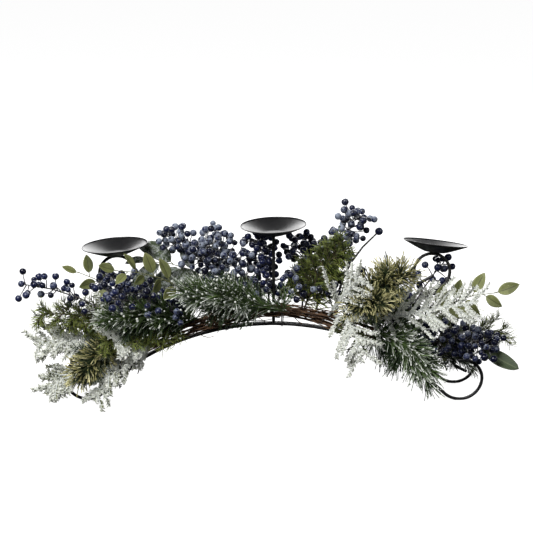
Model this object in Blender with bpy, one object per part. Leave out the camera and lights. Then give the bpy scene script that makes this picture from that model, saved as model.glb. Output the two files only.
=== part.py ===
"""Arched centrepiece candle holder: a scrolled wire stand with three dishes, dressed with wired sprays."""

import math
import random
from collections import namedtuple

import bmesh
import bpy
import numpy as np
from mathutils import Matrix, Vector

# Fits, in metres like every other size
FIT_GAP = 0.0003
SPRAY_GAP = 0.0005
TABLE_GAP = 0.0015

# Arch rods and their scroll feet
ROD_RADIUS = 0.0025
ROD_SIDES = 8
CROWN_HEIGHT = 0.1135
FOOT_REACH = 0.289
FOOT_SPREAD = 0.038
PARTING_SHARE = 0.72
FOOT_RADIUS = 0.034
FOOT_FLAT_ANGLE = 15.0
ARCH_STEPS = 9
FRONT_HOOK_RADIUS = 0.030
FRONT_HOOK_TURN = 105.0
REAR_CURL_RADIUS = 0.017
REAR_CURL_TURN = 180.0
REAR_END_RADIUS = 0.010
REAR_END_TURN = 65.0
REAR_END_RUN = 0.016

# Candle dishes
DISH_RADIUS = 0.051
DISH_FLOOR_RADIUS = 0.016
DISH_DEPTH = 0.014
DISH_SHEET = 0.0011
DISH_STEPS = 30
DISH_RIM_HEIGHT = 0.272
CENTRE_DISH_ROLL = 2.3

# Ring brackets that carry the side dishes
BRACKET_REACH = 0.231
BRACKET_FOOT = 0.012
BRACKET_POST = 0.100
BRACKET_BEND = 0.0145
BRACKET_BEND_TURN = 70.0
RING_RADIUS = 0.028
RING_TURN = 290.0
RING_END_RADIUS = 0.005
RING_END_TURN = 85.0
RING_END_RUN = 0.022
LEFT_LEAN_OUT = 4.3
LEFT_LEAN_BACK = 1.0
RIGHT_LEAN_OUT = 6.7
RIGHT_LEAN_BACK = 9.5

# Grapevine bundle
VINE_LAY_RADIUS = 0.008
VINE_RADII = (0.0022, 0.0018, 0.0023, 0.0020, 0.0024)
VINE_ANGLES = (0.0, 48.0, 132.0, 180.0, 226.0)
VINE_END_GAPS = (0.014, 0.017, 0.015, 0.018, 0.014)
VINE_TURN_PER_METRE = 700.0
VINE_REST = 0.0005
VINE_CROWN_LIFT = 0.0065
VINE_CROWN_LENGTH = 0.070
VINE_STATIONS = 19
VINE_SIDES = 6

# Wire ties round the bundle and the rods
TIE_RADIUS = 0.0006
TIE_LOOPS = 2
TIE_PITCH = 0.0022
TIE_LOOP_POINTS = 24
TIE_STATIONS = {"left_wire_tie": -0.072, "centre_wire_tie": 0.014, "right_wire_tie": 0.137}

# Sprays: how each kind grows
Kind = namedtuple("Kind", "form slot stem bare length width angle")
KINDS = {
    "snowy_fir": Kind("fir", "flocked_needle", 0.0014, 0.30, 0.046, 0.0042, 46.0),
    "green_fir": Kind("fir", "green_needle", 0.0013, 0.30, 0.040, 0.0034, 42.0),
    "snow_pine": Kind("pine", "pine_needle", 0.0014, 0.30, 0.052, 0.0022, 36.0),
    "golden_pine": Kind("pine", "golden_needle", 0.0014, 0.42, 0.036, 0.0026, 46.0),
    "berry": Kind("berry", "berry_skin", 0.0012, 0.34, 0.024, 0.0055, 60.0),
    "oval_leaf": Kind("leaf", "oval_leaf", 0.0011, 0.40, 0.031, 0.0084, 52.0),
    "laurel": Kind("leaf", "laurel_leaf", 0.0012, 0.38, 0.058, 0.0112, 34.0),
}
SPINE_POINTS = 6
SEAT_SLIDES = (0.0, 0.004, -0.004, 0.008, -0.008, 0.013, -0.013, 0.019, -0.019)
BERRY_STEM = 0.0008
LEAF_THICKNESS = 0.0009
LEAF_STALK = 0.006

# Tries for a side growth that finds no room: turn round the stem or tilt, then share of its size
BERRY_TRIES = ((0, 1.0), (0.8, 1.0), (-0.8, 1.0), (1.6, 0.8), (-1.6, 0.8), (2.6, 0.6), (0, 1.5), (1.2, 1.5))
LEAF_TRIES = ((0, 1.0), (0.5, 1.0), (-0.5, 1.0), (0.9, 1.0), (-0.9, 0.9), (1.3, 0.9), (0, 0.7), (-0.8, 0.65))

# Lines of a leaf that have to be free: place across it, then where each starts and ends along it
LEAF_RIBS = ((-0.75, 0.30, 0.72), (-0.4, 0.16, 0.84), (0, 0.08, 0.94), (0.4, 0.16, 0.84), (0.75, 0.30, 0.72))

# Sprays: share of the way from the crown to the end of the vine, then how far the tip lies from the
# middle of the bundle there, the lift of the stem's middle, and the number of side growths
Spray = namedtuple("Spray", "name kind share reach rise count")
SPRAYS = (
    Spray("left_tip_berry_spray", "berry", -0.92, (-0.183, -0.015, 0.108), 0.030, 11),
    Spray("left_tip_leaf_sprig", "oval_leaf", -0.85, (-0.117, 0.004, 0.114), 0.018, 7),
    Spray("left_tip_green_fir", "green_fir", -0.95, (-0.155, -0.040, 0.070), 0.022, 9),
    Spray("left_end_snowy_fir", "snowy_fir", -0.98, (-0.149, -0.045, 0.027), 0.018, 8),
    Spray("left_low_snowy_fir", "snowy_fir", -1.00, (-0.130, -0.060, -0.043), 0.020, 8),
    Spray("left_golden_pine", "golden_pine", -0.97, (-0.075, -0.080, -0.005), 0.018, 10),
    Spray("left_front_snowy_fir", "snowy_fir", -0.88, (-0.078, -0.088, -0.060), 0.022, 8),
    Spray("left_small_snowy_fir", "snowy_fir", -0.82, (-0.057, -0.086, 0.021), 0.006, 7),
    Spray("left_green_fir", "green_fir", -0.60, (-0.126, -0.080, 0.005), 0.004, 9),
    Spray("left_snow_pine", "snow_pine", -0.50, (-0.128, -0.074, 0.034), 0.006, 10),
    Spray("left_rear_snowy_fir", "snowy_fir", -0.75, (-0.147, -0.016, 0.040), 0.020, 8),
    Spray("left_berry_spray", "berry", -0.61, (-0.128, -0.038, 0.095), 0.012, 10),
    Spray("left_low_berry_spray", "berry", -0.55, (-0.125, -0.076, 0.067), 0.010, 8),
    Spray("left_leaf_sprig", "oval_leaf", -0.43, (-0.143, -0.074, 0.103), 0.022, 8),
    Spray("left_laurel_sprig", "laurel", -0.32, (-0.125, 0.004, 0.089), 0.004, 6),
    Spray("upper_left_berry_spray", "berry", -0.20, (-0.123, 0.024, 0.121), 0.012, 10),
    Spray("centre_berry_spray", "berry", -0.08, (-0.090, -0.012, 0.117), 0.010, 11),
    Spray("rear_centre_berry_spray", "berry", -0.03, (-0.017, 0.044, 0.107), 0.010, 10),
    Spray("centre_snow_pine", "snow_pine", 0.11, (-0.139, -0.076, 0.051), 0.004, 12),
    Spray("centre_green_fir", "green_fir", 0.21, (0.059, -0.034, 0.121), 0.008, 11),
    Spray("upper_right_berry_spray", "berry", 0.29, (0.063, 0.014, 0.162), 0.006, 11),
    Spray("curved_berry_twig", "berry", 0.43, (0.067, 0.030, 0.135), 0.020, 3),
    Spray("centre_snowy_fir", "snowy_fir", 0.38, (0.048, -0.074, 0.088), 0.004, 8),
    Spray("hanging_snowy_fir", "snowy_fir", 0.42, (0.041, -0.084, -0.038), 0.026, 8),
    Spray("right_golden_pine", "golden_pine", 0.54, (0.070, -0.056, 0.097), 0.012, 11),
    Spray("right_low_golden_pine", "golden_pine", 0.50, (0.046, -0.082, 0.062), 0.008, 9),
    Spray("right_snowy_fir", "snowy_fir", 0.62, (0.167, -0.086, 0.070), 0.004, 13),
    Spray("right_snow_pine", "snow_pine", 0.67, (0.074, -0.080, -0.028), 0.020, 11),
    Spray("right_rear_berry_spray", "berry", 0.88, (0.082, 0.066, 0.122), 0.012, 8),
    Spray("right_berry_spray", "berry", 0.93, (0.133, -0.054, 0.018), 0.018, 11),
    Spray("right_laurel_sprig", "laurel", 0.96, (0.111, -0.044, 0.018), 0.020, 6),
    Spray("right_tip_leaf_sprig", "oval_leaf", 0.99, (0.127, -0.016, 0.104), 0.022, 7),
    Spray("right_tip_green_fir", "green_fir", 1.00, (0.146, -0.004, 0.035), 0.020, 6),
    Spray("right_low_snow_pine", "snow_pine", 0.98, (0.086, 0.014, -0.016), 0.022, 6),
    Spray("rear_left_snowy_fir", "snowy_fir", -0.79, (-0.118, 0.076, -0.018), 0.020, 8),
    Spray("rear_left_snow_pine", "snow_pine", -0.54, (-0.097, 0.082, 0.032), 0.014, 9),
    Spray("rear_left_golden_pine", "golden_pine", -0.28, (-0.060, 0.086, 0.015), 0.014, 9),
    Spray("rear_centre_snowy_fir", "snowy_fir", 0.02, (0.048, 0.092, 0.043), 0.012, 8),
    Spray("rear_right_berry_spray", "berry", 0.20, (0.007, 0.042, 0.114), 0.006, 9),
    Spray("rear_right_snow_pine", "snow_pine", 0.57, (0.080, 0.088, 0.012), 0.016, 9),
    Spray("rear_right_snowy_fir", "snowy_fir", 0.81, (0.122, 0.076, -0.010), 0.020, 8),
)
REAR_FACING_DEPTH = 0.050

# Colours of the materials: red, green, blue, then roughness and metallic
COLOURS = {
    "black_iron": (0.020, 0.020, 0.021, 0.55, 0.6),
    "dish_black": (0.030, 0.031, 0.033, 0.45, 0.6),
    "vine_bark": (0.150, 0.072, 0.045, 0.80, 0.0),
    "tie_wire": (0.420, 0.420, 0.420, 0.40, 1.0),
    "flocked_needle": (0.560, 0.590, 0.540, 0.90, 0.0),
    "green_needle": (0.070, 0.100, 0.045, 0.75, 0.0),
    "pine_needle": (0.190, 0.230, 0.140, 0.75, 0.0),
    "golden_needle": (0.240, 0.200, 0.060, 0.70, 0.0),
    "berry_skin": (0.045, 0.060, 0.130, 0.55, 0.0),
    "oval_leaf": (0.130, 0.150, 0.055, 0.65, 0.0),
    "laurel_leaf": (0.120, 0.150, 0.095, 0.60, 0.0),
}

FRONT = Vector((0.0, -1.0, 0.0))
ALONG = Vector((1.0, 0.0, 0.0))
ACROSS = Vector((0.0, 1.0, 0.0))
UP = Vector((0.0, 0.0, 1.0))

# Sizes that follow from the ones above
ROD_FLAT = ROD_RADIUS * math.cos(math.pi / ROD_SIDES)
ARCH_DROP = CROWN_HEIGHT - ROD_FLAT
ARCH_TURN = 2 * math.degrees(math.atan(ARCH_DROP / FOOT_REACH))
ARCH_RADIUS = FOOT_REACH / math.sin(math.radians(ARCH_TURN)) - FOOT_RADIUS
ARCH_REACH = ARCH_RADIUS * math.sin(math.radians(ARCH_TURN))
ARCH_SAG = ARCH_RADIUS * (1 - math.cos(math.radians(ARCH_TURN / ARCH_STEPS / 2)))
CROWN_SPREAD = ROD_RADIUS + FIT_GAP / 2
BUNDLE_RADIUS = VINE_LAY_RADIUS + max(VINE_RADII)
VINE_REACHES = [BRACKET_REACH - gap for gap in VINE_END_GAPS]
DRESSED_REACH = min(VINE_REACHES)


def clear_scene():
    for thing in list(bpy.data.objects):
        bpy.data.objects.remove(thing)


def make_materials():
    made = {}
    for slot, (red, green, blue, rough, metal) in COLOURS.items():
        material = bpy.data.materials.new(slot)
        material.use_nodes = True
        shader = material.node_tree.nodes["Principled BSDF"]
        shader.inputs["Base Color"].default_value = (red, green, blue, 1.0)
        shader.inputs["Roughness"].default_value = rough
        shader.inputs["Metallic"].default_value = metal
        made[slot] = material
    return made


def add_object(name, shape, slot):
    """A named object that holds the finished bmesh."""
    mesh = bpy.data.meshes.new(name)
    bmesh.ops.recalc_face_normals(shape, faces=shape.faces)
    shape.to_mesh(mesh)
    shape.free()
    mesh.materials.append(MATERIALS[slot])
    thing = bpy.data.objects.new(name, mesh)
    bpy.context.scene.collection.objects.link(thing)
    return thing


def sweep(shape, points, widths, sides, reference, heights=None):
    """A closed tube along the points. The reference sets which way the first side faces."""
    heights = heights or widths
    rings = []
    last = len(points) - 1
    for index, point in enumerate(points):
        ahead = (points[min(index + 1, last)] - points[max(index - 1, 0)]).normalized()
        side = (reference - ahead * reference.dot(ahead)).normalized()
        lift = ahead.cross(side)
        ring = []
        for step in range(sides):
            turn = 2 * math.pi * (step + 0.5) / sides
            spot = point + side * math.cos(turn) * widths[index] + lift * math.sin(turn) * heights[index]
            ring.append(shape.verts.new(spot))
        rings.append(ring)
    for near, far in zip(rings, rings[1:]):
        for step in range(sides):
            after = (step + 1) % sides
            shape.faces.new((near[step], near[after], far[after], far[step]))
    shape.faces.new(rings[0])
    shape.faces.new(rings[-1])


def bend(start, heading, moves):
    """Points of a rod bent in a plane. A move is a radius, the angle it turns to the left, and its steps.
    A radius of zero runs straight on, and then the second number is the length."""
    x, z = start
    points = [(x, z)]
    for radius, amount, steps in moves:
        if radius == 0:
            x += amount * math.cos(heading)
            z += amount * math.sin(heading)
            points.append((x, z))
            continue
        turn = math.radians(amount) / steps
        chord = 2 * radius * math.sin(abs(turn) / 2)
        for _ in range(steps):
            x += chord * math.cos(heading + turn / 2)
            z += chord * math.sin(heading + turn / 2)
            heading += turn
            points.append((x, z))
    return points


def arch_height(x):
    """Height of the rod centres over a station of the arch."""
    return CROWN_HEIGHT - ARCH_RADIUS + math.sqrt(ARCH_RADIUS**2 - x * x)


def rod_spread(x):
    """How far a rod lies from the middle plane at a station. The rods part only near the feet."""
    way = (abs(x) / ARCH_REACH - PARTING_SHARE) / (1 - PARTING_SHARE)
    way = max(0.0, min(way, 1.0))
    return CROWN_SPREAD + (FOOT_SPREAD - CROWN_SPREAD) * way * way * (3 - 2 * way)


def rod_points(side, scroll):
    half = FOOT_FLAT_ANGLE / 2
    moves = [
        (ARCH_RADIUS, -ARCH_TURN, ARCH_STEPS),
        (FOOT_RADIUS, ARCH_TURN - half, 2),
        (FOOT_RADIUS, FOOT_FLAT_ANGLE, 1),
        (FOOT_RADIUS, 90.0 - half, 4),
    ]
    outline = bend((0.0, CROWN_HEIGHT), 0.0, moves + scroll)
    right = [Vector((x, side * rod_spread(x), z)) for x, z in outline]
    left = [Vector((-p.x, p.y, p.z)) for p in reversed(right[1:])]
    return left + right


def bar_reach(x):
    """Half length of a bar that ends just short of both rods, which run at a slant there."""
    outline = rod_points(1, [])
    for near, far in zip(outline, outline[1:]):
        if near.x <= x <= far.x:
            run = far - near
            slant = abs(run.y / run.x)
            middle = near.y + run.y * (x - near.x) / run.x
    return middle - ROD_RADIUS * (math.hypot(1.0, slant) + slant) - 2 * FIT_GAP


def bundle_frame(x):
    """Centre of the grapevine bundle at a station, and the direction out of the arch there."""
    crown = VINE_CROWN_LIFT * math.exp(-((x / VINE_CROWN_LENGTH) ** 2))
    out = Vector((x / ARCH_RADIUS, 0.0, math.sqrt(1 - (x / ARCH_RADIUS) ** 2)))
    lift = ROD_RADIUS + VINE_REST + BUNDLE_RADIUS + crown
    return Vector((x, 0.0, arch_height(x))) + out * lift, out


def vine_angle(strand, x):
    return math.radians(VINE_ANGLES[strand] + VINE_TURN_PER_METRE * x)


def vine_outward(strand, x):
    """Direction from the middle of the bundle to a strand at a station."""
    angle = vine_angle(strand, x)
    return FRONT * math.cos(angle) + bundle_frame(x)[1] * math.sin(angle)


def vine_points(strand):
    reach = VINE_REACHES[strand]
    stations = np.linspace(-reach, reach, VINE_STATIONS)
    return [bundle_frame(x)[0] + vine_outward(strand, x) * VINE_LAY_RADIUS for x in stations]


def vine_middle(strand, x):
    """Middle of a strand at a station, on the straight run between two of its points."""
    reach = VINE_REACHES[strand]
    place = (x + reach) / (2 * reach) * (VINE_STATIONS - 1)
    index = max(0, min(int(place), VINE_STATIONS - 2))
    points = vine_points(strand)
    return points[index].lerp(points[index + 1], place - index)


def tie_points(station):
    """A wire pulled tight round the bundle and both rods, wound along the arch."""
    centre, out = bundle_frame(station)
    rods = Vector((station, 0.0, arch_height(station)))
    run = FRONT.cross(out)
    spread = rod_spread(station)
    held = (
        (centre, BUNDLE_RADIUS),
        (rods + FRONT * spread, ROD_RADIUS + ARCH_SAG),
        (rods - FRONT * spread, ROD_RADIUS + ARCH_SAG),
    )
    points = []
    for index in range(TIE_LOOPS * TIE_LOOP_POINTS + 1):
        turn = 2 * math.pi * (index + 0.5) / TIE_LOOP_POINTS
        away = FRONT * math.cos(turn) + out * math.sin(turn)
        middle, radius = max(held, key=lambda item: item[0].dot(away) + item[1])
        spot = middle + away * (radius + FIT_GAP + TIE_RADIUS)
        points.append(spot + run * TIE_PITCH * (index / TIE_LOOP_POINTS - TIE_LOOPS / 2))
    return points, run


def least_self_gap(points, radius):
    """Least gap between turns of a wound wire, measured between points at least half a loop apart."""
    spots = np.array(points)
    gaps = np.linalg.norm(spots[:, None] - spots[None], axis=2)
    order = np.arange(len(spots))
    apart = np.abs(order[:, None] - order[None]) > TIE_LOOP_POINTS // 2
    return float(gaps[apart].min()) - 2 * radius


class Space:
    """The room already taken, as round-ended rods, so that no two pieces touch."""

    def __init__(self):
        self.owners = []
        self.is_growth = []
        self.rods = []
        self.table = None

    def take(self, owner, start, end, radius, is_growth=False):
        self.owners.append(owner)
        self.is_growth.append(is_growth)
        self.rods.append((*start, *end, radius))
        self.table = None

    def take_path(self, owner, points, radius):
        for start, end in zip(points, points[1:]):
            self.take(owner, start, end, radius)

    def gaps(self, start, end, radius):
        """The gap from a rod to every rod taken so far."""
        if self.table is None:
            self.table = np.array(self.rods)
        near = self.table[:, 0:3]
        run = self.table[:, 3:6] - near
        first = np.array(start)
        along = np.array(end) - first
        back = first - near
        along_sq = max(along @ along, 1e-18)
        run_sq = np.maximum(np.einsum("ij,ij->i", run, run), 1e-18)
        run_back = np.einsum("ij,ij->i", run, back)
        along_back = back @ along
        mixed = run @ along
        parallel = np.maximum(along_sq * run_sq - mixed * mixed, 1e-18)
        s = np.clip((mixed * run_back - along_back * run_sq) / parallel, 0, 1)
        t = np.clip((mixed * s + run_back) / run_sq, 0, 1)
        s = np.clip((mixed * t - along_back) / along_sq, 0, 1)
        apart = np.linalg.norm(back + s[:, None] * along - t[:, None] * run, axis=1)
        return apart - self.table[:, 6] - radius

    def is_free(self, owners, start, end, radius):
        """Whether a rod clears the table and every rod of other owners."""
        if min(start[2], end[2]) - radius < TABLE_GAP:
            return False
        others = np.array([owner not in owners for owner in self.owners])
        return bool((self.gaps(start, end, radius)[others] >= SPRAY_GAP).all())

    def is_clear_of_own(self, owner, start, end, radius, with_stem):
        """Whether a rod clears what its own spray has already grown, and its stem if asked."""
        own = [name == owner and (grown or with_stem) for name, grown in zip(self.owners, self.is_growth)]
        return bool((self.gaps(start, end, radius)[np.array(own)] >= SPRAY_GAP).all())


SPACE = Space()


def add_rod(name, points, radius, sides, reference, slot):
    shape = bmesh.new()
    sweep(shape, points, [radius] * len(points), sides, reference)
    SPACE.take_path(name, points, radius)
    return add_object(name, shape, slot)


def add_dish(name, placed):
    """A thin saucer turned about its own axis. Its floor's top is the origin of its place."""
    drop = Vector((0.0, 0.0, -DISH_SHEET))
    knee = DISH_FLOOR_RADIUS * 1.25
    knee_rise = DISH_DEPTH * 0.07
    inside = [
        Vector((0.0, 0.0, 0.0)),
        Vector((DISH_FLOOR_RADIUS, 0.0, 0.0)),
        Vector((knee, 0.0, knee_rise)),
        Vector((DISH_RADIUS - DISH_SHEET / 2, 0.0, DISH_DEPTH)),
    ]
    outside = [
        Vector((DISH_RADIUS, 0.0, DISH_DEPTH - DISH_SHEET)),
        Vector((knee + DISH_SHEET / 3, 0.0, knee_rise)) + drop,
        Vector((DISH_FLOOR_RADIUS, 0.0, 0.0)) + drop,
        drop,
    ]
    shape = bmesh.new()
    corners = [shape.verts.new(point) for point in inside + outside]
    for near, far in zip(corners, corners[1:]):
        shape.edges.new((near, far))
    mesh = bpy.data.meshes.new(name)
    shape.to_mesh(mesh)
    shape.free()
    mesh.materials.append(MATERIALS["dish_black"])
    dish = bpy.data.objects.new(name, mesh)
    bpy.context.scene.collection.objects.link(dish)
    turn = dish.modifiers.new("Turn", "SCREW")
    turn.axis = "Z"
    turn.steps = DISH_STEPS
    turn.render_steps = DISH_STEPS
    turn.use_merge_vertices = True
    turn.merge_threshold = 0.00001
    dish.matrix_world = placed
    for step in range(24):
        spin = Matrix.Rotation(math.radians(15.0 * step), 4, "Z")
        SPACE.take(name, placed @ drop, placed @ spin @ inside[1], DISH_SHEET * 2)
        SPACE.take(name, placed @ spin @ inside[1], placed @ spin @ inside[3], DISH_SHEET * 2)
    top = Vector((0.0, 0.0, DISH_DEPTH))
    SPACE.take(name, placed @ (top * 3.5), placed @ (top * 7), DISH_RADIUS * 0.8)
    return dish


def add_bracket(side, name, bar_name, dish_name, lean_out, lean_back):
    """The bar across the rods, the ring bracket standing on it, and the dish on the ring."""
    station = side * BRACKET_REACH
    height = arch_height(station)
    half_bar = bar_reach(station)
    ends = [Vector((station, -half_bar, height)), Vector((station, half_bar, height))]
    add_rod(bar_name, ends, ROD_RADIUS, ROD_SIDES, UP, "black_iron")
    foot = Vector((station, 0.0, height + ROD_FLAT + FIT_GAP))
    pivot = foot + UP * BRACKET_FOOT
    lean = (
        Matrix.Translation(pivot)
        @ Matrix.Rotation(math.radians(-lean_back), 4, "X")
        @ Matrix.Rotation(math.radians(side * lean_out), 4, "Y")
    )
    moves = [
        (0, BRACKET_POST, 1),
        (BRACKET_BEND, -BRACKET_BEND_TURN, 4),
        (RING_RADIUS, RING_TURN, 16),
        (RING_END_RADIUS, RING_END_TURN, 3),
        (0, RING_END_RUN, 1),
    ]
    outline = bend((0.0, 0.0), math.pi / 2, moves)
    points = [foot] + [lean @ Vector((side * x, 0.0, z)) for x, z in outline]
    add_rod(name, points, ROD_RADIUS, ROD_SIDES, ACROSS, "black_iron")
    bend_end = BRACKET_POST + BRACKET_BEND * math.sin(math.radians(BRACKET_BEND_TURN))
    ring_middle = bend_end + RING_RADIUS * math.sin(math.radians(BRACKET_BEND_TURN))
    floor = ring_middle + RING_RADIUS + ROD_RADIUS + FIT_GAP + DISH_SHEET
    add_dish(dish_name, lean @ Matrix.Translation(UP * floor))


def make_frame():
    front_scroll = [(FRONT_HOOK_RADIUS, FRONT_HOOK_TURN, 5)]
    rear_scroll = [
        (REAR_CURL_RADIUS, REAR_CURL_TURN, 8),
        (REAR_END_RADIUS, REAR_END_TURN, 2),
        (0, REAR_END_RUN, 1),
    ]
    add_rod("front_arch_rod", rod_points(-1, front_scroll), ROD_RADIUS, ROD_SIDES, ACROSS, "black_iron")
    add_rod("rear_arch_rod", rod_points(1, rear_scroll), ROD_RADIUS, ROD_SIDES, ACROSS, "black_iron")
    floor = DISH_RIM_HEIGHT - DISH_DEPTH
    stem_foot = CROWN_HEIGHT + ROD_RADIUS + FIT_GAP
    stem = [Vector((0.0, 0.0, stem_foot)), Vector((0.0, 0.0, floor - DISH_SHEET - FIT_GAP))]
    add_rod("centre_stem", stem, ROD_RADIUS, ROD_SIDES, ACROSS, "black_iron")
    roll = Matrix.Rotation(math.radians(-CENTRE_DISH_ROLL), 4, "Y")
    add_dish("centre_dish", Matrix.Translation(UP * floor) @ roll)
    add_bracket(-1, "left_ring_bracket", "left_saddle_bar", "left_dish", LEFT_LEAN_OUT, LEFT_LEAN_BACK)
    add_bracket(1, "right_ring_bracket", "right_saddle_bar", "right_dish", RIGHT_LEAN_OUT, RIGHT_LEAN_BACK)


def make_vine():
    for strand, radius in enumerate(VINE_RADII):
        add_rod(f"vine_strand_{strand + 1}", vine_points(strand), radius, VINE_SIDES, ACROSS, "vine_bark")
    for name, station in TIE_STATIONS.items():
        points, run = tie_points(station)
        print(f"{name}: least gap between turns {1000 * least_self_gap(points, TIE_RADIUS):.2f} mm")
        add_rod(name, points, TIE_RADIUS, 6, run, "tie_wire")


def spine_curve(seat, middle, tip):
    steps = np.linspace(0.0, 1.0, SPINE_POINTS)
    return [seat * (1 - t) ** 2 + middle * (2 * t * (1 - t)) + tip * t * t for t in steps]


def plan_spine(spray):
    """A stem from the vine to the tip, bowed or slid along the vine out of the way of what is already there."""
    for slide in SEAT_SLIDES:
        station = max(-DRESSED_REACH, min(spray.share * DRESSED_REACH + slide, DRESSED_REACH))
        points = free_spine(spray, station)
        if points:
            SPACE.take_path(spray.name, points, KINDS[spray.kind].stem)
            return points
    raise SystemExit(f"no free way for the stem of {spray.name}")


def free_spine(spray, station):
    """The first clear stem from a station of the vine, nearest strands and least bows first."""
    kind = KINDS[spray.kind]
    centre, out = bundle_frame(station)
    chord = Vector(spray.reach)
    aside = chord.cross(UP).normalized()
    over = aside.cross(chord).normalized()
    wanted = math.atan2((chord + UP * spray.rise).dot(out), chord.dot(FRONT))

    def strand_miss(strand):
        miss = vine_angle(strand, station) - wanted
        return abs((miss + math.pi) % (2 * math.pi) - math.pi)

    bows = [(Vector(), 0.0, 0.0)]
    for swing in (0.0, 0.10, 0.22):
        for reach in (0.08, 0.15, 0.24, 0.34, 0.46):
            for step in range(8):
                turn = step * math.pi / 4
                bows.append((over * math.cos(turn) + aside * math.sin(turn), reach, swing))
    for strand in sorted(range(len(VINE_RADII)), key=strand_miss)[:3]:
        outward = vine_outward(strand, station)
        rest = vine_middle(strand, station) + outward * VINE_RADII[strand]
        for bow, reach, swing in bows:
            middle = centre + chord * 0.5 + over * 2 * spray.rise + bow * reach * chord.length
            tip = centre + chord + bow * swing * chord.length
            leaves = (middle - rest).normalized().dot(outward)
            if leaves < 0.1:
                continue
            seat = rest + outward * (FIT_GAP + kind.stem * math.sqrt(1 - leaves * leaves))
            points = spine_curve(seat, middle, tip)
            own = (spray.name, f"vine_strand_{strand + 1}")
            clear = SPACE.is_free(own, points[0], points[1], kind.stem)
            for near, far in zip(points[1:], points[2:]):
                clear = clear and SPACE.is_free((spray.name,), near, far, kind.stem)
            if clear:
                return points
    return None


def along_spine(points, way):
    """Point and direction at a share of the way along a spine."""
    place = way * (len(points) - 1)
    index = min(int(place), len(points) - 2)
    share = place - index
    return points[index].lerp(points[index + 1], share), (points[index + 1] - points[index]).normalized()


def spray_faces(spray, ahead):
    """Two directions square to a spray's spine: sideways in its flat, and out of its flat."""
    toward = UP * 0.55 + FRONT * (0.85 if spray.reach[1] < REAR_FACING_DEPTH else -0.85)
    face = (toward - ahead * toward.dot(ahead)).normalized()
    return ahead.cross(face), face


def fits(name, start, end, radius):
    return SPACE.is_free((name,), start, end, radius)


def plain_stem(spray, kind, spine):
    return spine, [kind.stem] * len(spine)


def sleeved_stem(spray, kind, spine):
    """The spine with the needles that grow along it, as thick as the neighbours allow."""
    ways = [0.0, kind.bare * 0.55] + list(np.linspace(kind.bare, 1.0, 5))
    spots = [along_spine(spine, way)[0] for way in ways]
    widths = [kind.stem, kind.stem, kind.stem]
    for index in range(3, len(spots)):
        after = spots[min(index + 1, len(spots) - 1)]
        widths.append(kind.stem)
        for share in (1.0, 0.8, 0.6):
            if fits(spray.name, spots[index - 1], after, kind.width * share):
                widths[-1] = kind.width * share
                break
    for index in range(2, len(spots) - 1):
        SPACE.take(spray.name, spots[index], spots[index + 1], max(widths[index], widths[index + 1]))
    ahead = (spots[-1] - spots[-2]).normalized()
    return spots + [spots[-1] + ahead * kind.width], widths + [kind.width * 0.35]


def grow_finger(shape, spray, start, direction, length, width, sides):
    """One needled side twig. It is shortened where there is less room."""
    for share in (1.0, 0.8, 0.6, 0.42):
        end = start + direction * length * share
        outer = start.lerp(end, 0.35)
        if not SPACE.is_clear_of_own(spray.name, outer, end, width, False):
            continue
        if fits(spray.name, start, end, width):
            SPACE.take(spray.name, start, end, width, True)
            spots = [start, start.lerp(end, 0.42), end]
            widths = [width * 0.36, width, width * 0.35]
            sweep(shape, spots, widths, sides, FRONT.cross(direction) + UP * 0.01)
            return True
    return False


def grow_fir(shape, spray, kind, spine, dice):
    for index in range(spray.count):
        way = kind.bare + (1 - kind.bare) * (index + 0.2) / spray.count
        start, ahead = along_spine(spine, way)
        side, face = spray_faces(spray, ahead)
        hand = 1 if index % 2 else -1
        length = kind.length * (1 - 0.5 * index / spray.count) * dice.uniform(0.85, 1.1)
        tilt = dice.uniform(-0.25, 0.45)
        angle = math.radians(kind.angle + dice.uniform(-6, 6))
        for more in (0.0, 0.5, -0.5, 0.9):
            aim = ahead * math.cos(angle) + (side * hand + face * (tilt + more)) * math.sin(angle)
            if grow_finger(shape, spray, start, aim.normalized(), length, kind.width, 4):
                break


def grow_pine(shape, spray, kind, spine, dice):
    for index in range(spray.count):
        way = kind.bare + (1 - kind.bare) * (index + 0.9) / spray.count
        start, ahead = along_spine(spine, min(way, 0.995))
        side, face = spray_faces(spray, ahead)
        round_spine = 2.4 * index + dice.uniform(-0.3, 0.3)
        late = index / spray.count
        angle = math.radians(kind.angle * (1.15 - 0.75 * late) + dice.uniform(-5, 5))
        length = kind.length * dice.uniform(0.85, 1.1)
        for more in (0.0, 0.7, -0.7, 1.4):
            out = side * math.cos(round_spine + more) + face * math.sin(round_spine + more)
            aim = (ahead * math.cos(angle) + out * math.sin(angle)).normalized()
            if grow_finger(shape, spray, start, aim, length, kind.width, 3):
                break


def grow_berries(shape, spray, kind, spine, dice):
    for index in range(spray.count):
        last = index == spray.count - 1
        way = 1.0 if last else kind.bare + (1.0 - kind.bare) * (index + 0.5) / spray.count
        start, ahead = along_spine(spine, way)
        side, face = spray_faces(spray, ahead)
        round_spine = 2.4 * index + dice.uniform(-0.4, 0.4)
        angle = math.radians(0.0 if last else kind.angle + dice.uniform(-14, 14))
        radius = kind.width * dice.uniform(0.86, 1.06)
        length = kind.width * 0.5 if last else kind.length * dice.uniform(0.55, 1.25)
        for more, share in BERRY_TRIES:
            out = side * math.cos(round_spine + more) + face * math.sin(round_spine + more)
            middle = start + (ahead * math.cos(angle) + out * math.sin(angle)).normalized() * length * share
            if berry_fits(spray.name, start, middle, radius, last):
                SPACE.take(spray.name, start, middle, BERRY_STEM, True)
                SPACE.take(spray.name, middle, middle, radius, True)
                sweep(shape, [start, middle], [BERRY_STEM, BERRY_STEM], 3, face)
                placed = Matrix.Translation(middle) @ dice_turn(dice)
                bmesh.ops.create_icosphere(shape, subdivisions=1, radius=radius, matrix=placed)
                break


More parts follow.
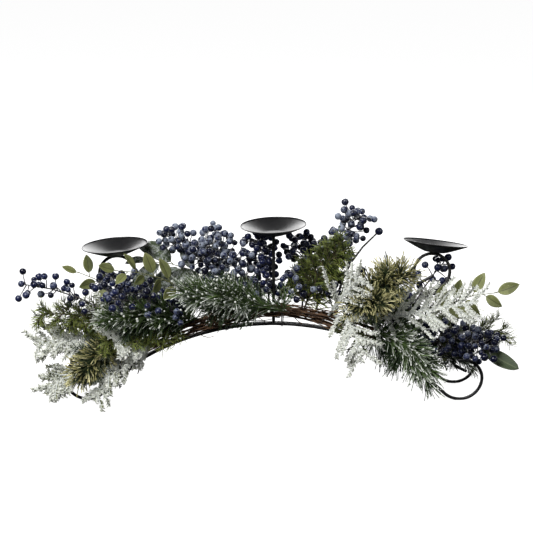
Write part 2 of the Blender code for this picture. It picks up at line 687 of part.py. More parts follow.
def berry_fits(name, start, middle, radius, last):
    """Whether a berry and its stem keep out of other sprays and of the rest of their own."""
    if not fits(name, middle, middle, radius) or not fits(name, start, middle, BERRY_STEM):
        return False
    if not SPACE.is_clear_of_own(name, middle, middle, radius, not last):
        return False
    return SPACE.is_clear_of_own(name, start, middle, BERRY_STEM, False)


def dice_turn(dice):
    return Matrix.Rotation(dice.uniform(0, 2 * math.pi), 4, (dice.uniform(-1, 1), dice.uniform(-1, 1), 0.5))


def grow_leaves(shape, spray, kind, spine, dice):
    for index in range(spray.count):
        last = index == spray.count - 1
        way = kind.bare + (0.97 - kind.bare) * (index + 0.4) / (spray.count - 0.6)
        start, ahead = along_spine(spine, min(way, 0.985))
        side, face = spray_faces(spray, ahead)
        hand = 1 if index % 2 else -1
        size = dice.uniform(0.85, 1.1) * (1 - 0.25 * index / spray.count)
        angle = math.radians(8.0 if last else kind.angle + dice.uniform(-10, 10))
        tilt = dice.uniform(-0.3, 0.5)
        for more, share in LEAF_TRIES:
            aim = ahead * math.cos(angle) + (side * hand + face * (tilt + more)) * math.sin(angle)
            length = kind.length * size * share
            if grow_leaf(shape, spray, start, aim.normalized(), face, length, kind.width * size * share):
                break


def grow_leaf(shape, spray, start, aim, face, length, half_width):
    """A flat leaf on a short stalk, if there is room for it."""
    base = start + aim * LEAF_STALK
    across = aim.cross(face).normalized()
    ribs = []
    for offset, near, far in LEAF_RIBS:
        shift = base + across * half_width * offset
        ribs.append((shift + aim * length * near, shift + aim * length * far))
    room = half_width * 0.25
    if not fits(spray.name, start, base, BERRY_STEM):
        return False
    for near, far in ribs:
        if not fits(spray.name, near, far, room):
            return False
        if not SPACE.is_clear_of_own(spray.name, near, far, room, False):
            return False
    for near, far in ribs:
        SPACE.take(spray.name, near, far, room, True)
    SPACE.take(spray.name, start, base, BERRY_STEM, True)
    ways = (0.0, 0.36, 0.70, 1.0)
    shares = (0.12, 1.0, 0.84, 0.08)
    spots = [start] + [base + aim * length * way for way in ways]
    widths = [BERRY_STEM] + [half_width * share for share in shares]
    heights = [BERRY_STEM] + [LEAF_THICKNESS * 0.6] * len(ways)
    sweep(shape, spots, widths, 4, across + face * 0.02, heights)
    return True


GROWERS = {"fir": grow_fir, "pine": grow_pine, "berry": grow_berries, "leaf": grow_leaves}
STEMS = {"fir": sleeved_stem, "pine": plain_stem, "berry": plain_stem, "leaf": plain_stem}


def make_sprays():
    spines = [plan_spine(spray) for spray in SPRAYS]
    for number, (spray, spine) in enumerate(zip(SPRAYS, spines)):
        kind = KINDS[spray.kind]
        points, widths = STEMS[kind.form](spray, kind, spine)
        growth = bmesh.new()
        GROWERS[kind.form](growth, spray, kind, spine, random.Random(number + 1))
        twigs = add_object(spray.name + "_growth", growth, kind.slot)
        twigs.hide_render = True
        twigs.display_type = "WIRE"
        stem = bmesh.new()
        face = spray_faces(spray, (spine[-1] - spine[0]).normalized())[1]
        sweep(stem, points, widths, 4, face)
        whole = add_object(spray.name, stem, kind.slot)
        join = whole.modifiers.new("Join", "BOOLEAN")
        join.operation = "UNION"
        join.solver = "EXACT"
        join.use_self = True
        join.object = twigs


def stand_on_origin():
    """Moves the whole piece so that the middle of its box is over the origin and it stands on Z = 0."""
    bpy.context.view_layer.update()
    graph = bpy.context.evaluated_depsgraph_get()
    corners = []
    for thing in bpy.context.scene.objects:
        if thing.hide_render:
            continue
        solid = thing.evaluated_get(graph)
        corners += [solid.matrix_world @ Vector(corner) for corner in solid.bound_box]
    box = np.array(corners)
    low = box.min(axis=0)
    high = box.max(axis=0)
    shift = Vector((-(low[0] + high[0]) / 2, -(low[1] + high[1]) / 2, -low[2]))
    for thing in bpy.context.scene.objects:
        thing.matrix_world = Matrix.Translation(shift) @ thing.matrix_world
    print("moved by", [round(1000 * value, 2) for value in shift], "mm, size", np.round(1000 * (high - low), 1))


clear_scene()
MATERIALS = make_materials()
make_frame()
make_vine()
make_sprays()
stand_on_origin()
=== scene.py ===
import math
import random
from collections import namedtuple

import bmesh
import bpy
import numpy as np
from mathutils import Matrix, Vector, noise


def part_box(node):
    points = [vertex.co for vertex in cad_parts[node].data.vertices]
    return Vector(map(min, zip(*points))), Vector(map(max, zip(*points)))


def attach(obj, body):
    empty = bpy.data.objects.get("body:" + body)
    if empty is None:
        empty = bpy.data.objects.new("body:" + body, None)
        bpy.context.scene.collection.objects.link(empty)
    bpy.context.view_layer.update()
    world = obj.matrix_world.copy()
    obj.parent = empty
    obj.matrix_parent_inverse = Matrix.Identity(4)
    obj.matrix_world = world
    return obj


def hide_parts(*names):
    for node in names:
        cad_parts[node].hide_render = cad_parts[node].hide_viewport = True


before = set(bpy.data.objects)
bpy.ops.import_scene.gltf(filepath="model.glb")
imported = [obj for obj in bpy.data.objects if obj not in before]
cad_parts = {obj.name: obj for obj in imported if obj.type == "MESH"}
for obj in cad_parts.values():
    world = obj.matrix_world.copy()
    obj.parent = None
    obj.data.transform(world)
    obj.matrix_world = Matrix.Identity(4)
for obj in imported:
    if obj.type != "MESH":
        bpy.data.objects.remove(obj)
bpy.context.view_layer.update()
print("frame loaded:", len(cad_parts), "nodes")

up = Vector((0, 0, 1))
front = Vector((0, -1, 0))
across = Vector((0, 1, 0))
fullTurn = 2 * math.pi


# the direction that lies a turn away from the first, towards the second
def swung(first, second, turn):
    return first * math.cos(turn) + second * math.sin(turn)


# which way a row of points runs at one of them
def aimAt(points, index):
    return (points[min(index + 1, len(points) - 1)] - points[max(index - 1, 0)]).normalized()


# one socket of a node tree, so that node maths can be written as sums
class Wire:
    def __init__(self, tree, socket=None):
        self.tree = tree
        self.socket = socket

    def node(self, kind, settings=None, links=None, output=0):
        made = self.tree.nodes.new(kind)
        for name, value in (settings or {}).items():
            setattr(made, name, value)
        for key, value in (links or {}).items():
            if isinstance(value, Wire):
                self.tree.links.new(value.socket, made.inputs[key])
            else:
                made.inputs[key].default_value = value
        return Wire(self.tree, made.outputs[output])

    def sums(self, operation, *values):
        return self.node("ShaderNodeMath", {"operation": operation}, dict(enumerate(values)))

    def __add__(self, other):
        return self.sums("ADD", self, other)

    def __sub__(self, other):
        return self.sums("SUBTRACT", self, other)

    def __rsub__(self, other):
        return self.sums("SUBTRACT", other, self)

    def __mul__(self, other):
        return self.sums("MULTIPLY", self, other)

    def __truediv__(self, other):
        return self.sums("DIVIDE", self, other)

    __radd__ = __add__
    __rmul__ = __mul__

    # eases from 0 to 1 between two values
    def ease(self, low, high):
        settings = {"interpolation_type": "SMOOTHSTEP"}
        return self.node("ShaderNodeMapRange", settings, {0: self, 1: low, 2: high})


def addObject(data):
    thing = bpy.data.objects.new(data.name, data)
    bpy.context.scene.collection.objects.link(thing)
    return thing


# stage, lights and the photograph's camera
stage = {
    "floorReach": 40.0, "floorGrey": 0.30, "floorRoughness": 0.9, "floorGlow": 0.96, "worldStrength": 0.02,
    "cameraPlace": (-0.011, -2.2, 0.828), "cameraDip": 15.8, "lens": 100.0, "sensor": 36.0,
}
# place, aim, size in metres, watts
lights = {
    "keyLight": ((-1.3, -1.6, 2.4), (0, 0, 0.12), 1.6, 110.0),
    "fillLight": ((1.9, -1.7, 1.3), (0, 0, 0.12), 1.8, 16.0),
    "backLight": ((-0.1, 2.6, 1.0), (0, 0, 0.2), 2.4, 76.0),
}
white = (1.0, 1.0, 1.0, 1.0)


def makeStage():
    reach, grey = stage["floorReach"], stage["floorGrey"]
    mesh = bpy.data.meshes.new("floor")
    corners = [(-reach, -reach, 0), (reach, -reach, 0), (reach, reach, 0), (-reach, reach, 0)]
    mesh.from_pydata(corners, [], [(0, 1, 2, 3)])
    material, *_ = newFinish("paleFloor", {
        "Base Color": (grey, grey, grey, 1.0), "Roughness": stage["floorRoughness"],
        "Emission Color": white, "Emission Strength": stage["floorGlow"],
    })
    mesh.materials.append(material)
    floor = addObject(mesh)
    floor.visible_diffuse = False  # its glow whitens the picture and doesn't light the piece
    floor.visible_glossy = False
    world = bpy.data.worlds.new("studio")
    world.use_nodes = True
    setSockets(world.node_tree.nodes["Background"], {"Color": white, "Strength": stage["worldStrength"]})
    bpy.context.scene.world = world
    for name, (place, aim, size, watts) in lights.items():
        lamp = bpy.data.lights.new(name, "AREA")
        lamp.shape = "DISK"
        lamp.size = size
        lamp.energy = watts
        thing = addObject(lamp)
        thing.location = place
        thing.rotation_euler = (Vector(aim) - Vector(place)).to_track_quat("-Z", "Y").to_euler()
    eye = bpy.data.cameras.new("photoCamera")
    eye.lens = stage["lens"]
    eye.sensor_width = stage["sensor"]
    camera = addObject(eye)
    camera.location = Vector(stage["cameraPlace"]) + shift
    camera.rotation_euler = (math.radians(90 - stage["cameraDip"]), 0, 0)
    bpy.context.scene.camera = camera
    bpy.context.scene.view_settings.view_transform = "Standard"
    print("stage set")


# sizes of the solids, repeated here so that each piece goes where its solid is
fit = {"gap": 0.0003, "spray": 0.0005, "table": 0.0015, "floor": 0.0004}
rod = {
    "radius": 0.0025, "crownHeight": 0.1135, "footReach": 0.289, "footSpread": 0.038, "footRadius": 0.034,
    "partingShare": 0.72, "flatAngle": 15.0, "archSteps": 9, "hookRadius": 0.030, "hookTurn": 105.0,
    "curlRadius": 0.017, "curlTurn": 180.0, "endRadius": 0.010, "endTurn": 65.0, "endRun": 0.016, "solidSides": 8,
    "finer": 5, "sides": 14, "dent": 0.09, "dentRun": 0.0026, "dentScale": 210.0,
}
dish = {
    "radius": 0.051, "floorRadius": 0.016, "depth": 0.014, "sheet": 0.0011, "rimHeight": 0.272, "roll": 2.3,
    "segments": 96, "bead": 0.0007, "hub": 0.006, "wallSteps": 12, "wallCurve": 1.12, "lipSteps": 5, "tuck": 0.0003,
    "spokes": 24, "candleFrom": 3.5, "candleTo": 7, "candleShare": 0.8,
}
bracket = {
    "reach": 0.231, "foot": 0.012, "post": 0.100, "bend": 0.0145, "bendTurn": 70.0, "ringRadius": 0.028,
    "ringTurn": 290.0, "endRadius": 0.005, "endTurn": 85.0, "endRun": 0.022,
    "leftLean": (4.3, 1.0), "rightLean": (6.7, 9.5),
}
vine = {
    "layRadius": 0.008, "radii": (0.0022, 0.0018, 0.0023, 0.0020, 0.0024),
    "angles": (0.0, 48.0, 132.0, 180.0, 226.0), "endGaps": (0.014, 0.017, 0.015, 0.018, 0.014),
    "turnPerMetre": 700.0, "rest": 0.0005, "crownLift": 0.0065, "crownLength": 0.070, "stations": 19,
}
tie = {
    "radius": 0.0006, "sides": 8, "loops": 2, "pitch": 0.0022, "loopPoints": 24,
    "stations": {"left_wire_tie": -0.072, "centre_wire_tie": 0.014, "right_wire_tie": 0.137},
}
rodFlat = rod["radius"] * math.cos(math.pi / rod["solidSides"])
archTurn = 2 * math.degrees(math.atan((rod["crownHeight"] - rodFlat) / rod["footReach"]))
archRadius = rod["footReach"] / math.sin(math.radians(archTurn)) - rod["footRadius"]
archReach = archRadius * math.sin(math.radians(archTurn))
archSag = archRadius * (1 - math.cos(math.radians(archTurn / rod["archSteps"] / 2)))
crownSpread = rod["radius"] + fit["gap"] / 2
bundleRadius = vine["layRadius"] + max(vine["radii"])
vineReaches = [bracket["reach"] - gap for gap in vine["endGaps"]]
dressedReach = min(vineReaches)

# the solids were moved as one, and the centre stem shows by how much
stemLow, stemHigh = [Vector(corner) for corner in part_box("centre_stem")]
stemFoot = rod["crownHeight"] + rod["radius"] + fit["gap"]
shift = Vector(((stemLow.x + stemHigh.x) / 2, (stemLow.y + stemHigh.y) / 2, stemLow.z - stemFoot))


# a move is a bend as radius, degrees and steps, or a straight run as 0, its length and 1
def bendPath(start, heading, moves, finer=1):
    x, z = start
    points = [(x, z)]
    for radius, amount, steps in moves:
        if radius == 0:
            x += amount * math.cos(heading)
            z += amount * math.sin(heading)
            points.append((x, z))
            continue
        turn = math.radians(amount) / (steps * finer)
        chord = 2 * radius * math.sin(abs(turn) / 2)
        for _ in range(steps * finer):
            x += chord * math.cos(heading + turn / 2)
            z += chord * math.sin(heading + turn / 2)
            heading += turn
            points.append((x, z))
    return points


def archHeight(x):
    return rod["crownHeight"] - archRadius + math.sqrt(archRadius**2 - x * x)


def rodSpread(x):
    way = (abs(x) / archReach - rod["partingShare"]) / (1 - rod["partingShare"])
    way = max(0.0, min(way, 1.0))
    return crownSpread + (rod["footSpread"] - crownSpread) * way * way * (3 - 2 * way)


def rodPoints(side, scroll, finer=1):
    half = rod["flatAngle"] / 2
    moves = [
        (archRadius, -archTurn, rod["archSteps"]),
        (rod["footRadius"], archTurn - half, 2),
        (rod["footRadius"], rod["flatAngle"], 1),
        (rod["footRadius"], 90.0 - half, 4),
    ]
    outline = bendPath((0.0, rod["crownHeight"]), 0.0, moves + scroll, finer)
    right = [Vector((x, side * rodSpread(x), z)) for x, z in outline]
    left = [Vector((-p.x, p.y, p.z)) for p in reversed(right[1:])]
    return left + right


# half length of a bar between the rods, which run at a slant there
def barReach(x):
    outline = rodPoints(1, [])
    for near, far in zip(outline, outline[1:]):
        if near.x <= x <= far.x:
            run = far - near
            slant = abs(run.y / run.x)
            middle = near.y + run.y * (x - near.x) / run.x
    return middle - rod["radius"] * (math.hypot(1.0, slant) + slant) - 2 * fit["gap"]


def bundleFrame(x):
    crown = vine["crownLift"] * math.exp(-((x / vine["crownLength"]) ** 2))
    out = Vector((x / archRadius, 0.0, math.sqrt(1 - (x / archRadius) ** 2)))
    lift = rod["radius"] + vine["rest"] + bundleRadius + crown
    return Vector((x, 0.0, archHeight(x))) + out * lift, out


def vineAngle(strand, x):
    return math.radians(vine["angles"][strand] + vine["turnPerMetre"] * x)


def vineOutward(strand, x):
    return swung(front, bundleFrame(x)[1], vineAngle(strand, x))


def vinePoints(strand, stations):
    reach = vineReaches[strand]
    places = np.linspace(-reach, reach, stations)
    return [bundleFrame(x)[0] + vineOutward(strand, x) * vine["layRadius"] for x in places]


def vineMiddle(strand, x):
    reach = vineReaches[strand]
    place = (x + reach) / (2 * reach) * (vine["stations"] - 1)
    index = max(0, min(int(place), vine["stations"] - 2))
    points = vinePoints(strand, vine["stations"])
    return points[index].lerp(points[index + 1], place - index)


def tiePoints(station):
    centre, out = bundleFrame(station)
    rods = Vector((station, 0.0, archHeight(station)))
    run = front.cross(out)
    spread = rodSpread(station)
    held = (
        (centre, bundleRadius),
        (rods + front * spread, rod["radius"] + archSag),
        (rods - front * spread, rod["radius"] + archSag),
    )
    points = []
    for index in range(tie["loops"] * tie["loopPoints"] + 1):
        away = swung(front, out, fullTurn * (index + 0.5) / tie["loopPoints"])
        middle, radius = max(held, key=lambda item: item[0].dot(away) + item[1])
        spot = middle + away * (radius + fit["gap"] + tie["radius"])
        points.append(spot + run * tie["pitch"] * (index / tie["loopPoints"] - tie["loops"] / 2))
    return points


# room that is taken, as round-ended rods, so that growth keeps clear of the stand and of neighbours
class Space:
    tiny = 1e-18

    def __init__(self):
        self.owners = []
        self.isGrowth = []
        self.rods = []
        self.table = None
        self.standRods = 0

    def take(self, owner, start, end, radius, isGrowth=False):
        self.owners.append(owner)
        self.isGrowth.append(isGrowth)
        self.rods.append((*start, *end, radius))
        self.table = None

    def takePath(self, owner, points, radius):
        for start, end in zip(points, points[1:]):
            self.take(owner, start, end, radius)

    def gaps(self, start, end, radius):
        if self.table is None:
            self.table = np.array(self.rods)
        near = self.table[:, 0:3]
        run = self.table[:, 3:6] - near
        first = np.array(start)
        along = np.array(end) - first
        back = first - near
        alongSq = max(along @ along, self.tiny)
        runSq = np.maximum(np.einsum("ij,ij->i", run, run), self.tiny)
        runBack = np.einsum("ij,ij->i", run, back)
        alongBack = back @ along
        mixed = run @ along
        parallel = np.maximum(alongSq * runSq - mixed * mixed, self.tiny)
        s = np.clip((mixed * runBack - alongBack * runSq) / parallel, 0, 1)
        t = np.clip((mixed * s + runBack) / runSq, 0, 1)
        s = np.clip((mixed * t - alongBack) / alongSq, 0, 1)
        apart = np.linalg.norm(back + s[:, None] * along - t[:, None] * run, axis=1)
        return apart - self.table[:, 6] - radius

    def isFree(self, owners, start, end, radius):
        if min(start[2], end[2]) - radius < fit["table"]:
            return False
        others = np.array([owner not in owners for owner in self.owners])
        return bool((self.gaps(start, end, radius)[others] >= fit["spray"]).all())

    def isClearOfOwn(self, owner, start, end, radius, withStem):
        own = [name == owner and (grown or withStem) for name, grown in zip(self.owners, self.isGrowth)]
        return bool((self.gaps(start, end, radius)[np.array(own)] >= fit["spray"]).all())

    def isClearOfStand(self, start, end, radius):
        return bool((self.gaps(start, end, radius)[:self.standRods] >= 0).all())


space = Space()


tubeEnd = {"reach": 0.35, "width": 0.62}  # shares of the radius


# a mesh in the making; each point's UV runs along the piece and across it
class Shape:
    def __init__(self):
        self.points = []
        self.faces = []
        self.finish = []
        self.uv = []

    def addPoint(self, point, uv):
        self.points.append(tuple(point))
        self.uv.append(uv)
        return len(self.points) - 1

    def addFace(self, corners, finish=0):
        self.faces.append(tuple(corners))
        self.finish.append(finish)

    # a round tube whose section turns smoothly along the path
    def addTube(self, points, radii, sides, finish=0, roundEnds=True):
        heads = [aimAt(points, index) for index in range(len(points))]
        rows = list(zip(points, radii, heads))
        if roundEnds:
            caps = []
            for end, way in ((0, -1), (-1, 1)):
                spot = points[end] + heads[end] * way * radii[end] * tubeEnd["reach"]
                caps.append((spot, radii[end] * tubeEnd["width"], heads[end]))
            rows = [caps[0]] + rows + [caps[1]]
        side = heads[0].orthogonal().normalized()
        rings = []
        length = 0.0
        for index, (point, radius, head) in enumerate(rows):
            side = (side - head * side.dot(head)).normalized()
            lift = head.cross(side)
            if index:
                length += (point - rows[index - 1][0]).length
            ring = []
            for step in range(sides):
                spot = point + swung(side, lift, fullTurn * step / sides) * radius
                ring.append(self.addPoint(spot, (length, step / sides)))
            rings.append(ring)
        for near, far in zip(rings, rings[1:]):
            for step in range(sides):
                after = (step + 1) % sides
                self.addFace((near[step], near[after], far[after], far[step]), finish)
        self.addFace(reversed(rings[0]), finish)
        self.addFace(rings[-1], finish)

    # a plain mesh object at the origin, with its place in its mesh
    def makeObject(self, node, *used):
        mesh = bpy.data.meshes.new(camelName(node))
        moved = np.array(self.points) + np.array(shift)
        moved[:, 2] = np.maximum(moved[:, 2], fit["floor"])
        mesh.from_pydata(moved.tolist(), [], self.faces)
        layer = mesh.uv_layers.new(name="run")
        corners = np.empty(len(mesh.loops), dtype=np.int32)
        mesh.loops.foreach_get("vertex_index", corners)
        layer.data.foreach_set("uv", np.array(self.uv, dtype=np.float32)[corners].ravel())
        for finish in used:
            mesh.materials.append(finishes[finish])
        mesh.polygons.foreach_set("material_index", self.finish)
        mesh.polygons.foreach_set("use_smooth", [True] * len(self.faces))
        mesh.update()
        return addObject(mesh)


def camelName(node):
    first, *rest = node.split("_")
    return first + "".join(word.capitalize() for word in rest)


def settle(piece, node, slot):
    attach(piece, "root")
    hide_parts(node)


# finishes
def setSockets(node, values):
    for name, value in values.items():
        node.inputs[name].default_value = value


def newFinish(name, sockets):
    material = bpy.data.materials.new(name)
    material.use_nodes = True
    shader = material.node_tree.nodes["Principled BSDF"]
    setSockets(shader, sockets)
    return material, Wire(material.node_tree), shader


def feed(shader, name, wire):
    wire.tree.links.new(wire.socket, shader.inputs[name])


def speckle(wire, scale, detail=2.0, place=None):
    place = place or wire.node("ShaderNodeTexCoord", output=3)
    return wire.node("ShaderNodeTexNoise", {}, {"Vector": place, "Scale": scale, "Detail": detail})


# a plain colour is red, green and blue
def blendColour(wire, share, *pair):
    first, second = [tint if isinstance(tint, Wire) else (*tint, 1.0) for tint in pair]
    settings = {"data_type": "RGBA", "clamp_factor": True}
    return wire.node("ShaderNodeMix", settings, {0: share, 6: first, 7: second}, 2)


def paint(wire, shader, share, first, second):
    feed(shader, "Base Color", blendColour(wire, share, first, second))


def roughen(wire, shader, height, strength, distance):
    links = {"Strength": strength, "Distance": distance, "Height": height}
    feed(shader, "Normal", wire.node("ShaderNodeBump", {}, links))


def measures(wire, *names):
    return [wire.node("ShaderNodeAttribute", {"attribute_name": name}, {}, 2) for name in names]


def axisOf(wire, vector, axis):
    return wire.node("ShaderNodeSeparateXYZ", {}, {0: vector}, axis)


# how far a face looks up, from -1 to 1
def upward(wire):
    return axisOf(wire, wire.node("ShaderNodeNewGeometry", output=1), 2)


def makeIron():
    material, wire, shader = newFinish("hammeredBlackIron", {})
    dents = speckle(wire, 330.0, 1.0)
    wear = speckle(wire, 60.0, 3.0)
    paint(wire, shader, dents * wear, (0.006, 0.006, 0.007), (0.040, 0.040, 0.042))
    feed(shader, "Roughness", 0.30 + 0.30 * wear)
    roughen(wire, shader, dents, 0.55, 0.0009)
    return material


def makeDishBlack():
    material, wire, shader = newFinish("satinBlackDish", {"Specular IOR Level": 0.32})
    grain = speckle(wire, 1500.0, 1.0)
    cloud = speckle(wire, 45.0, 3.0)
    paint(wire, shader, cloud, (0.003, 0.003, 0.0035), (0.009, 0.009, 0.010))
    feed(shader, "Roughness", 0.27 + 0.08 * cloud + 0.04 * grain)
    roughen(wire, shader, grain, 0.06, 0.0002)
    return material


def makeBark():
    material, wire, shader = newFinish("grapevineBark", {"Roughness": 0.85})
    place = wire.node("ShaderNodeTexCoord", output=3)
    stretch = wire.node("ShaderNodeMapping", {}, {"Vector": place, "Scale": (60.0, 420.0, 420.0)})
    fibre = speckle(wire, 1.0, 4.0, stretch)
    tan = blendColour(wire, speckle(wire, 90.0), (0.095, 0.046, 0.022), (0.390, 0.225, 0.125))
    paint(wire, shader, fibre.ease(0.35, 0.65), (0.028, 0.014, 0.008), tan)
    roughen(wire, shader, fibre, 0.7, 0.0008)
    return material


def makeTieWire():
    material, wire, shader = newFinish("tieWire", {"Metallic": 1.0})
    scuff = speckle(wire, 260.0, 3.0)
    paint(wire, shader, scuff, (0.30, 0.30, 0.29), (0.62, 0.62, 0.60))
    feed(shader, "Roughness", 0.25 + 0.3 * scuff)
    return material


def makeTwig(name, dark, light, dusted):
    material, wire, shader = newFinish(name, {"Roughness": 0.8})
    patch = speckle(wire, 240.0, 3.0)
    bark = blendColour(wire, patch, dark, light)
    frost, = measures(wire, "frost")
    dust = speckle(wire, 420.0).ease(0.45, 0.65)
    paint(wire, shader, frost * dusted * dust, bark, (0.72, 0.74, 0.74))
    roughen(wire, shader, patch, 0.4, 0.0004)
    return material


# needles: tone differs from needle to needle, along runs from root to tip, snow is 0 on the growth behind, which the
# flocked and snow pine needles paint darker as painted shade
def makeFlocked():
    material, wire, shader = newFinish("flockedNeedles", {"Roughness": 0.95})
    tone, along, snowAndLight, frost = measures(wire, "tone", "along", "snow", "frost")
    # painted shade: the growth behind (snow 0) gets a much darker green, as if it lay in shade
    paintedLightAndTone = tone * (0.15 + 0.85 * snowAndLight)
    green = blendColour(wire, paintedLightAndTone, (0.030, 0.042, 0.010), (0.360, 0.385, 0.150))
    snow = blendColour(wire, tone, (0.70, 0.72, 0.64), (0.93, 0.94, 0.89))
    cover = frost * snowAndLight * 1.3 + along * 0.7 + speckle(wire, 85.0) * 0.7 + tone * 0.3
    cover = cover + upward(wire) * 0.55 - 1.45
    paint(wire, shader, cover.ease(0.0, 0.60), green, snow)
    roughen(wire, shader, speckle(wire, 1300.0), 0.5, 0.0004)
    return material


def makeGreenFir():
    material, wire, shader = newFinish("greenFirNeedles", {"Roughness": 0.6})
    tone, along, snowAndLight, frost = measures(wire, "tone", "along", "snow", "frost")
    # painted light: the lighter green goes on faces looking up and on the tips, the darker green on faces looking
    # down and at the roots, with tone from needle to needle on top
    shadedAndRootGreen = blendColour(wire, tone, (0.008, 0.017, 0.004), (0.050, 0.080, 0.015))
    litAndTipGreen = blendColour(wire, speckle(wire, 50.0), (0.165, 0.245, 0.040), (0.330, 0.345, 0.085))
    paintedLightAndTone = along * 0.6 + tone * 0.4 + upward(wire) * 0.4
    leaf = blendColour(wire, paintedLightAndTone.ease(0.2, 1.0), shadedAndRootGreen, litAndTipGreen)
    dust = frost * snowAndLight * 1.3 + tone + along * 0.4 - 1.35
    paint(wire, shader, dust.ease(0.0, 0.5), leaf, (0.60, 0.64, 0.60))
    roughen(wire, shader, speckle(wire, 900.0), 0.3, 0.0003)
    return material


def makeSnowPine():
    material, wire, shader = newFinish("snowTippedPineNeedles", {"Roughness": 0.7})
    tone, along, snowAndLight, frost = measures(wire, "tone", "along", "snow", "frost")
    # painted shade: the growth behind (snow 0) gets a much darker green, as if it lay in shade
    paintedLightAndTone = tone * (0.3 + 0.7 * snowAndLight)
    green = blendColour(wire, paintedLightAndTone, (0.009, 0.026, 0.006), (0.140, 0.225, 0.060))
    cover = frost * snowAndLight * 1.1 + along * 1.15 + speckle(wire, 70.0) * 0.7 + tone * 0.6
    cover = cover + upward(wire) * 0.4 - 2.05
    paint(wire, shader, cover.ease(0.0, 0.60), green, (0.80, 0.83, 0.76))
    roughen(wire, shader, speckle(wire, 900.0), 0.4, 0.0004)
    return material


def makeGoldenPine():
    material, wire, shader = newFinish("goldTippedPineNeedles", {"Roughness": 0.6})
    tone, along, snowAndLight = measures(wire, "tone", "along", "snow")
    green = blendColour(wire, tone, (0.008, 0.018, 0.007), (0.045, 0.070, 0.020))
    gold = blendColour(wire, tone, (0.280, 0.265, 0.080), (0.720, 0.670, 0.360))
    tip = along * 1.2 + speckle(wire, 60.0) * 0.5 + tone * 0.3 + snowAndLight * 0.6 - 1.45
    paint(wire, shader, tip.ease(0.15, 0.65), green, gold)
    roughen(wire, shader, speckle(wire, 900.0), 0.3, 0.0003)
    return material


# a berry's along is its height, from -1 to 1, with a dark crown on top
def makeBerry():
    material, wire, shader = newFinish("frostedBerrySkin", {
        "Sheen Weight": 1.0, "Sheen Roughness": 0.30, "Sheen Tint": (0.74, 0.78, 0.88, 1.0),
    })
    tone, along, frost = measures(wire, "tone", "along", "frost")
    skin = blendColour(wire, tone, (0.003, 0.004, 0.016), (0.013, 0.020, 0.085))
    grain = speckle(wire, 1100.0)
    bloom = frost * 0.80 + speckle(wire, 170.0) * 1.6 + grain * 1.9 + tone * 0.80
    bloom = (bloom + upward(wire) * 0.15 - 2.88).ease(0.0, 0.45)
    frosted = blendColour(wire, bloom * 0.85, skin, (0.31, 0.35, 0.42))
    paint(wire, shader, along.ease(0.90, 0.97), frosted, (0.010, 0.010, 0.014))
    feed(shader, "Roughness", 0.24 + 0.5 * bloom)
    roughen(wire, shader, grain, 0.15, 0.0003)
    return material


# a leaf's UV runs from stalk to tip, and across from 0 to 1
def makeLeaf(name, dark, light, veinColour, edgeColour, frostColour):
    material, wire, shader = newFinish(name, {})
    run = wire.node("ShaderNodeUVMap", {"uv_map": "run"})
    along = axisOf(wire, run, 0)
    aside = wire.sums("ABSOLUTE", axisOf(wire, run, 1) - 0.5)
    midrib = (1.0 - aside.ease(0.015, 0.06)) * 0.85
    veins = wire.sums("SINE", (along - aside * 0.75) * 62.0).ease(0.72, 1.0) * 0.55
    cloud = speckle(wire, 120.0, 3.0)
    shade = speckle(wire, 26.0, 1.0)
    blade = blendColour(wire, (cloud * 0.7 + shade * 1.3 - 0.5).ease(0.0, 1.0), dark, light)
    blade = blendColour(wire, aside.ease(0.30, 0.50) * 0.35, blade, edgeColour)
    veined = blendColour(wire, wire.sums("MAXIMUM", midrib, veins), blade, veinColour)
    frost, = measures(wire, "frost")
    grain = speckle(wire, 700.0, 3.0)
    cover = frost * 1.5 + cloud * 1.1 + speckle(wire, 330.0, 3.0) * 1.2 + grain * 0.9 - 2.55
    cover = cover.ease(0.0, 0.65)
    paint(wire, shader, cover, veined, frostColour)
    feed(shader, "Roughness", 0.62 + 0.3 * cover)
    roughen(wire, shader, veins + midrib + grain * 0.4, 0.35, 0.0004)
    return material


finishes = {
    "iron": makeIron(),
    "dish": makeDishBlack(),
    "bark": makeBark(),
    "tie": makeTieWire(),
    "twig": makeTwig("needleTwig", (0.030, 0.020, 0.010), (0.095, 0.070, 0.030), 0.7),
    "flockedTwig": makeTwig("flockedTwig", (0.42, 0.45, 0.41), (0.78, 0.80, 0.78), 0.8),
    "berryStem": makeTwig("berryStem", (0.012, 0.009, 0.012), (0.050, 0.036, 0.036), 0.9),
    "leafStem": makeTwig("leafStem", (0.110, 0.120, 0.045), (0.220, 0.225, 0.095), 0.5),
    "snowy_fir": makeFlocked(),
    "green_fir": makeGreenFir(),
    "snow_pine": makeSnowPine(),
    "golden_pine": makeGoldenPine(),
    "berry": makeBerry(),
    "oval_leaf": makeLeaf(
        "oliveLeaf", (0.088, 0.105, 0.026), (0.255, 0.275, 0.098), (0.050, 0.052, 0.020),
        (0.40, 0.42, 0.20), (0.48, 0.50, 0.28),
    ),
    "laurel": makeLeaf(
        "laurelLeaf", (0.024, 0.044, 0.016), (0.064, 0.092, 0.036), (0.12, 0.15, 0.07),
        (0.11, 0.13, 0.07), (0.62, 0.65, 0.64),
    ),
}
print("finishes made:", len(finishes))


# stand: rods, stem, brackets and dishes
def refined(points, step):
    path = [points[0]]
    for near, far in zip(points, points[1:]):
        count = max(1, math.ceil((far - near).length / step))
        path += [near.lerp(far, index / count) for index in range(1, count + 1)]
    return path


# the bar is hammered, so its thickness wanders a little
def addRod(node, points, smoothPoints):
    space.takePath(node, points, rod["radius"])
    shape = Shape()
    path = refined(smoothPoints, rod["dentRun"])
    radii = [rod["radius"] * (1 + rod["dent"] * noise.noise(point * rod["dentScale"])) for point in path]
    shape.addTube(path, radii, rod["sides"])
    settle(shape.makeObject(node, "iron"), node, "black_iron")


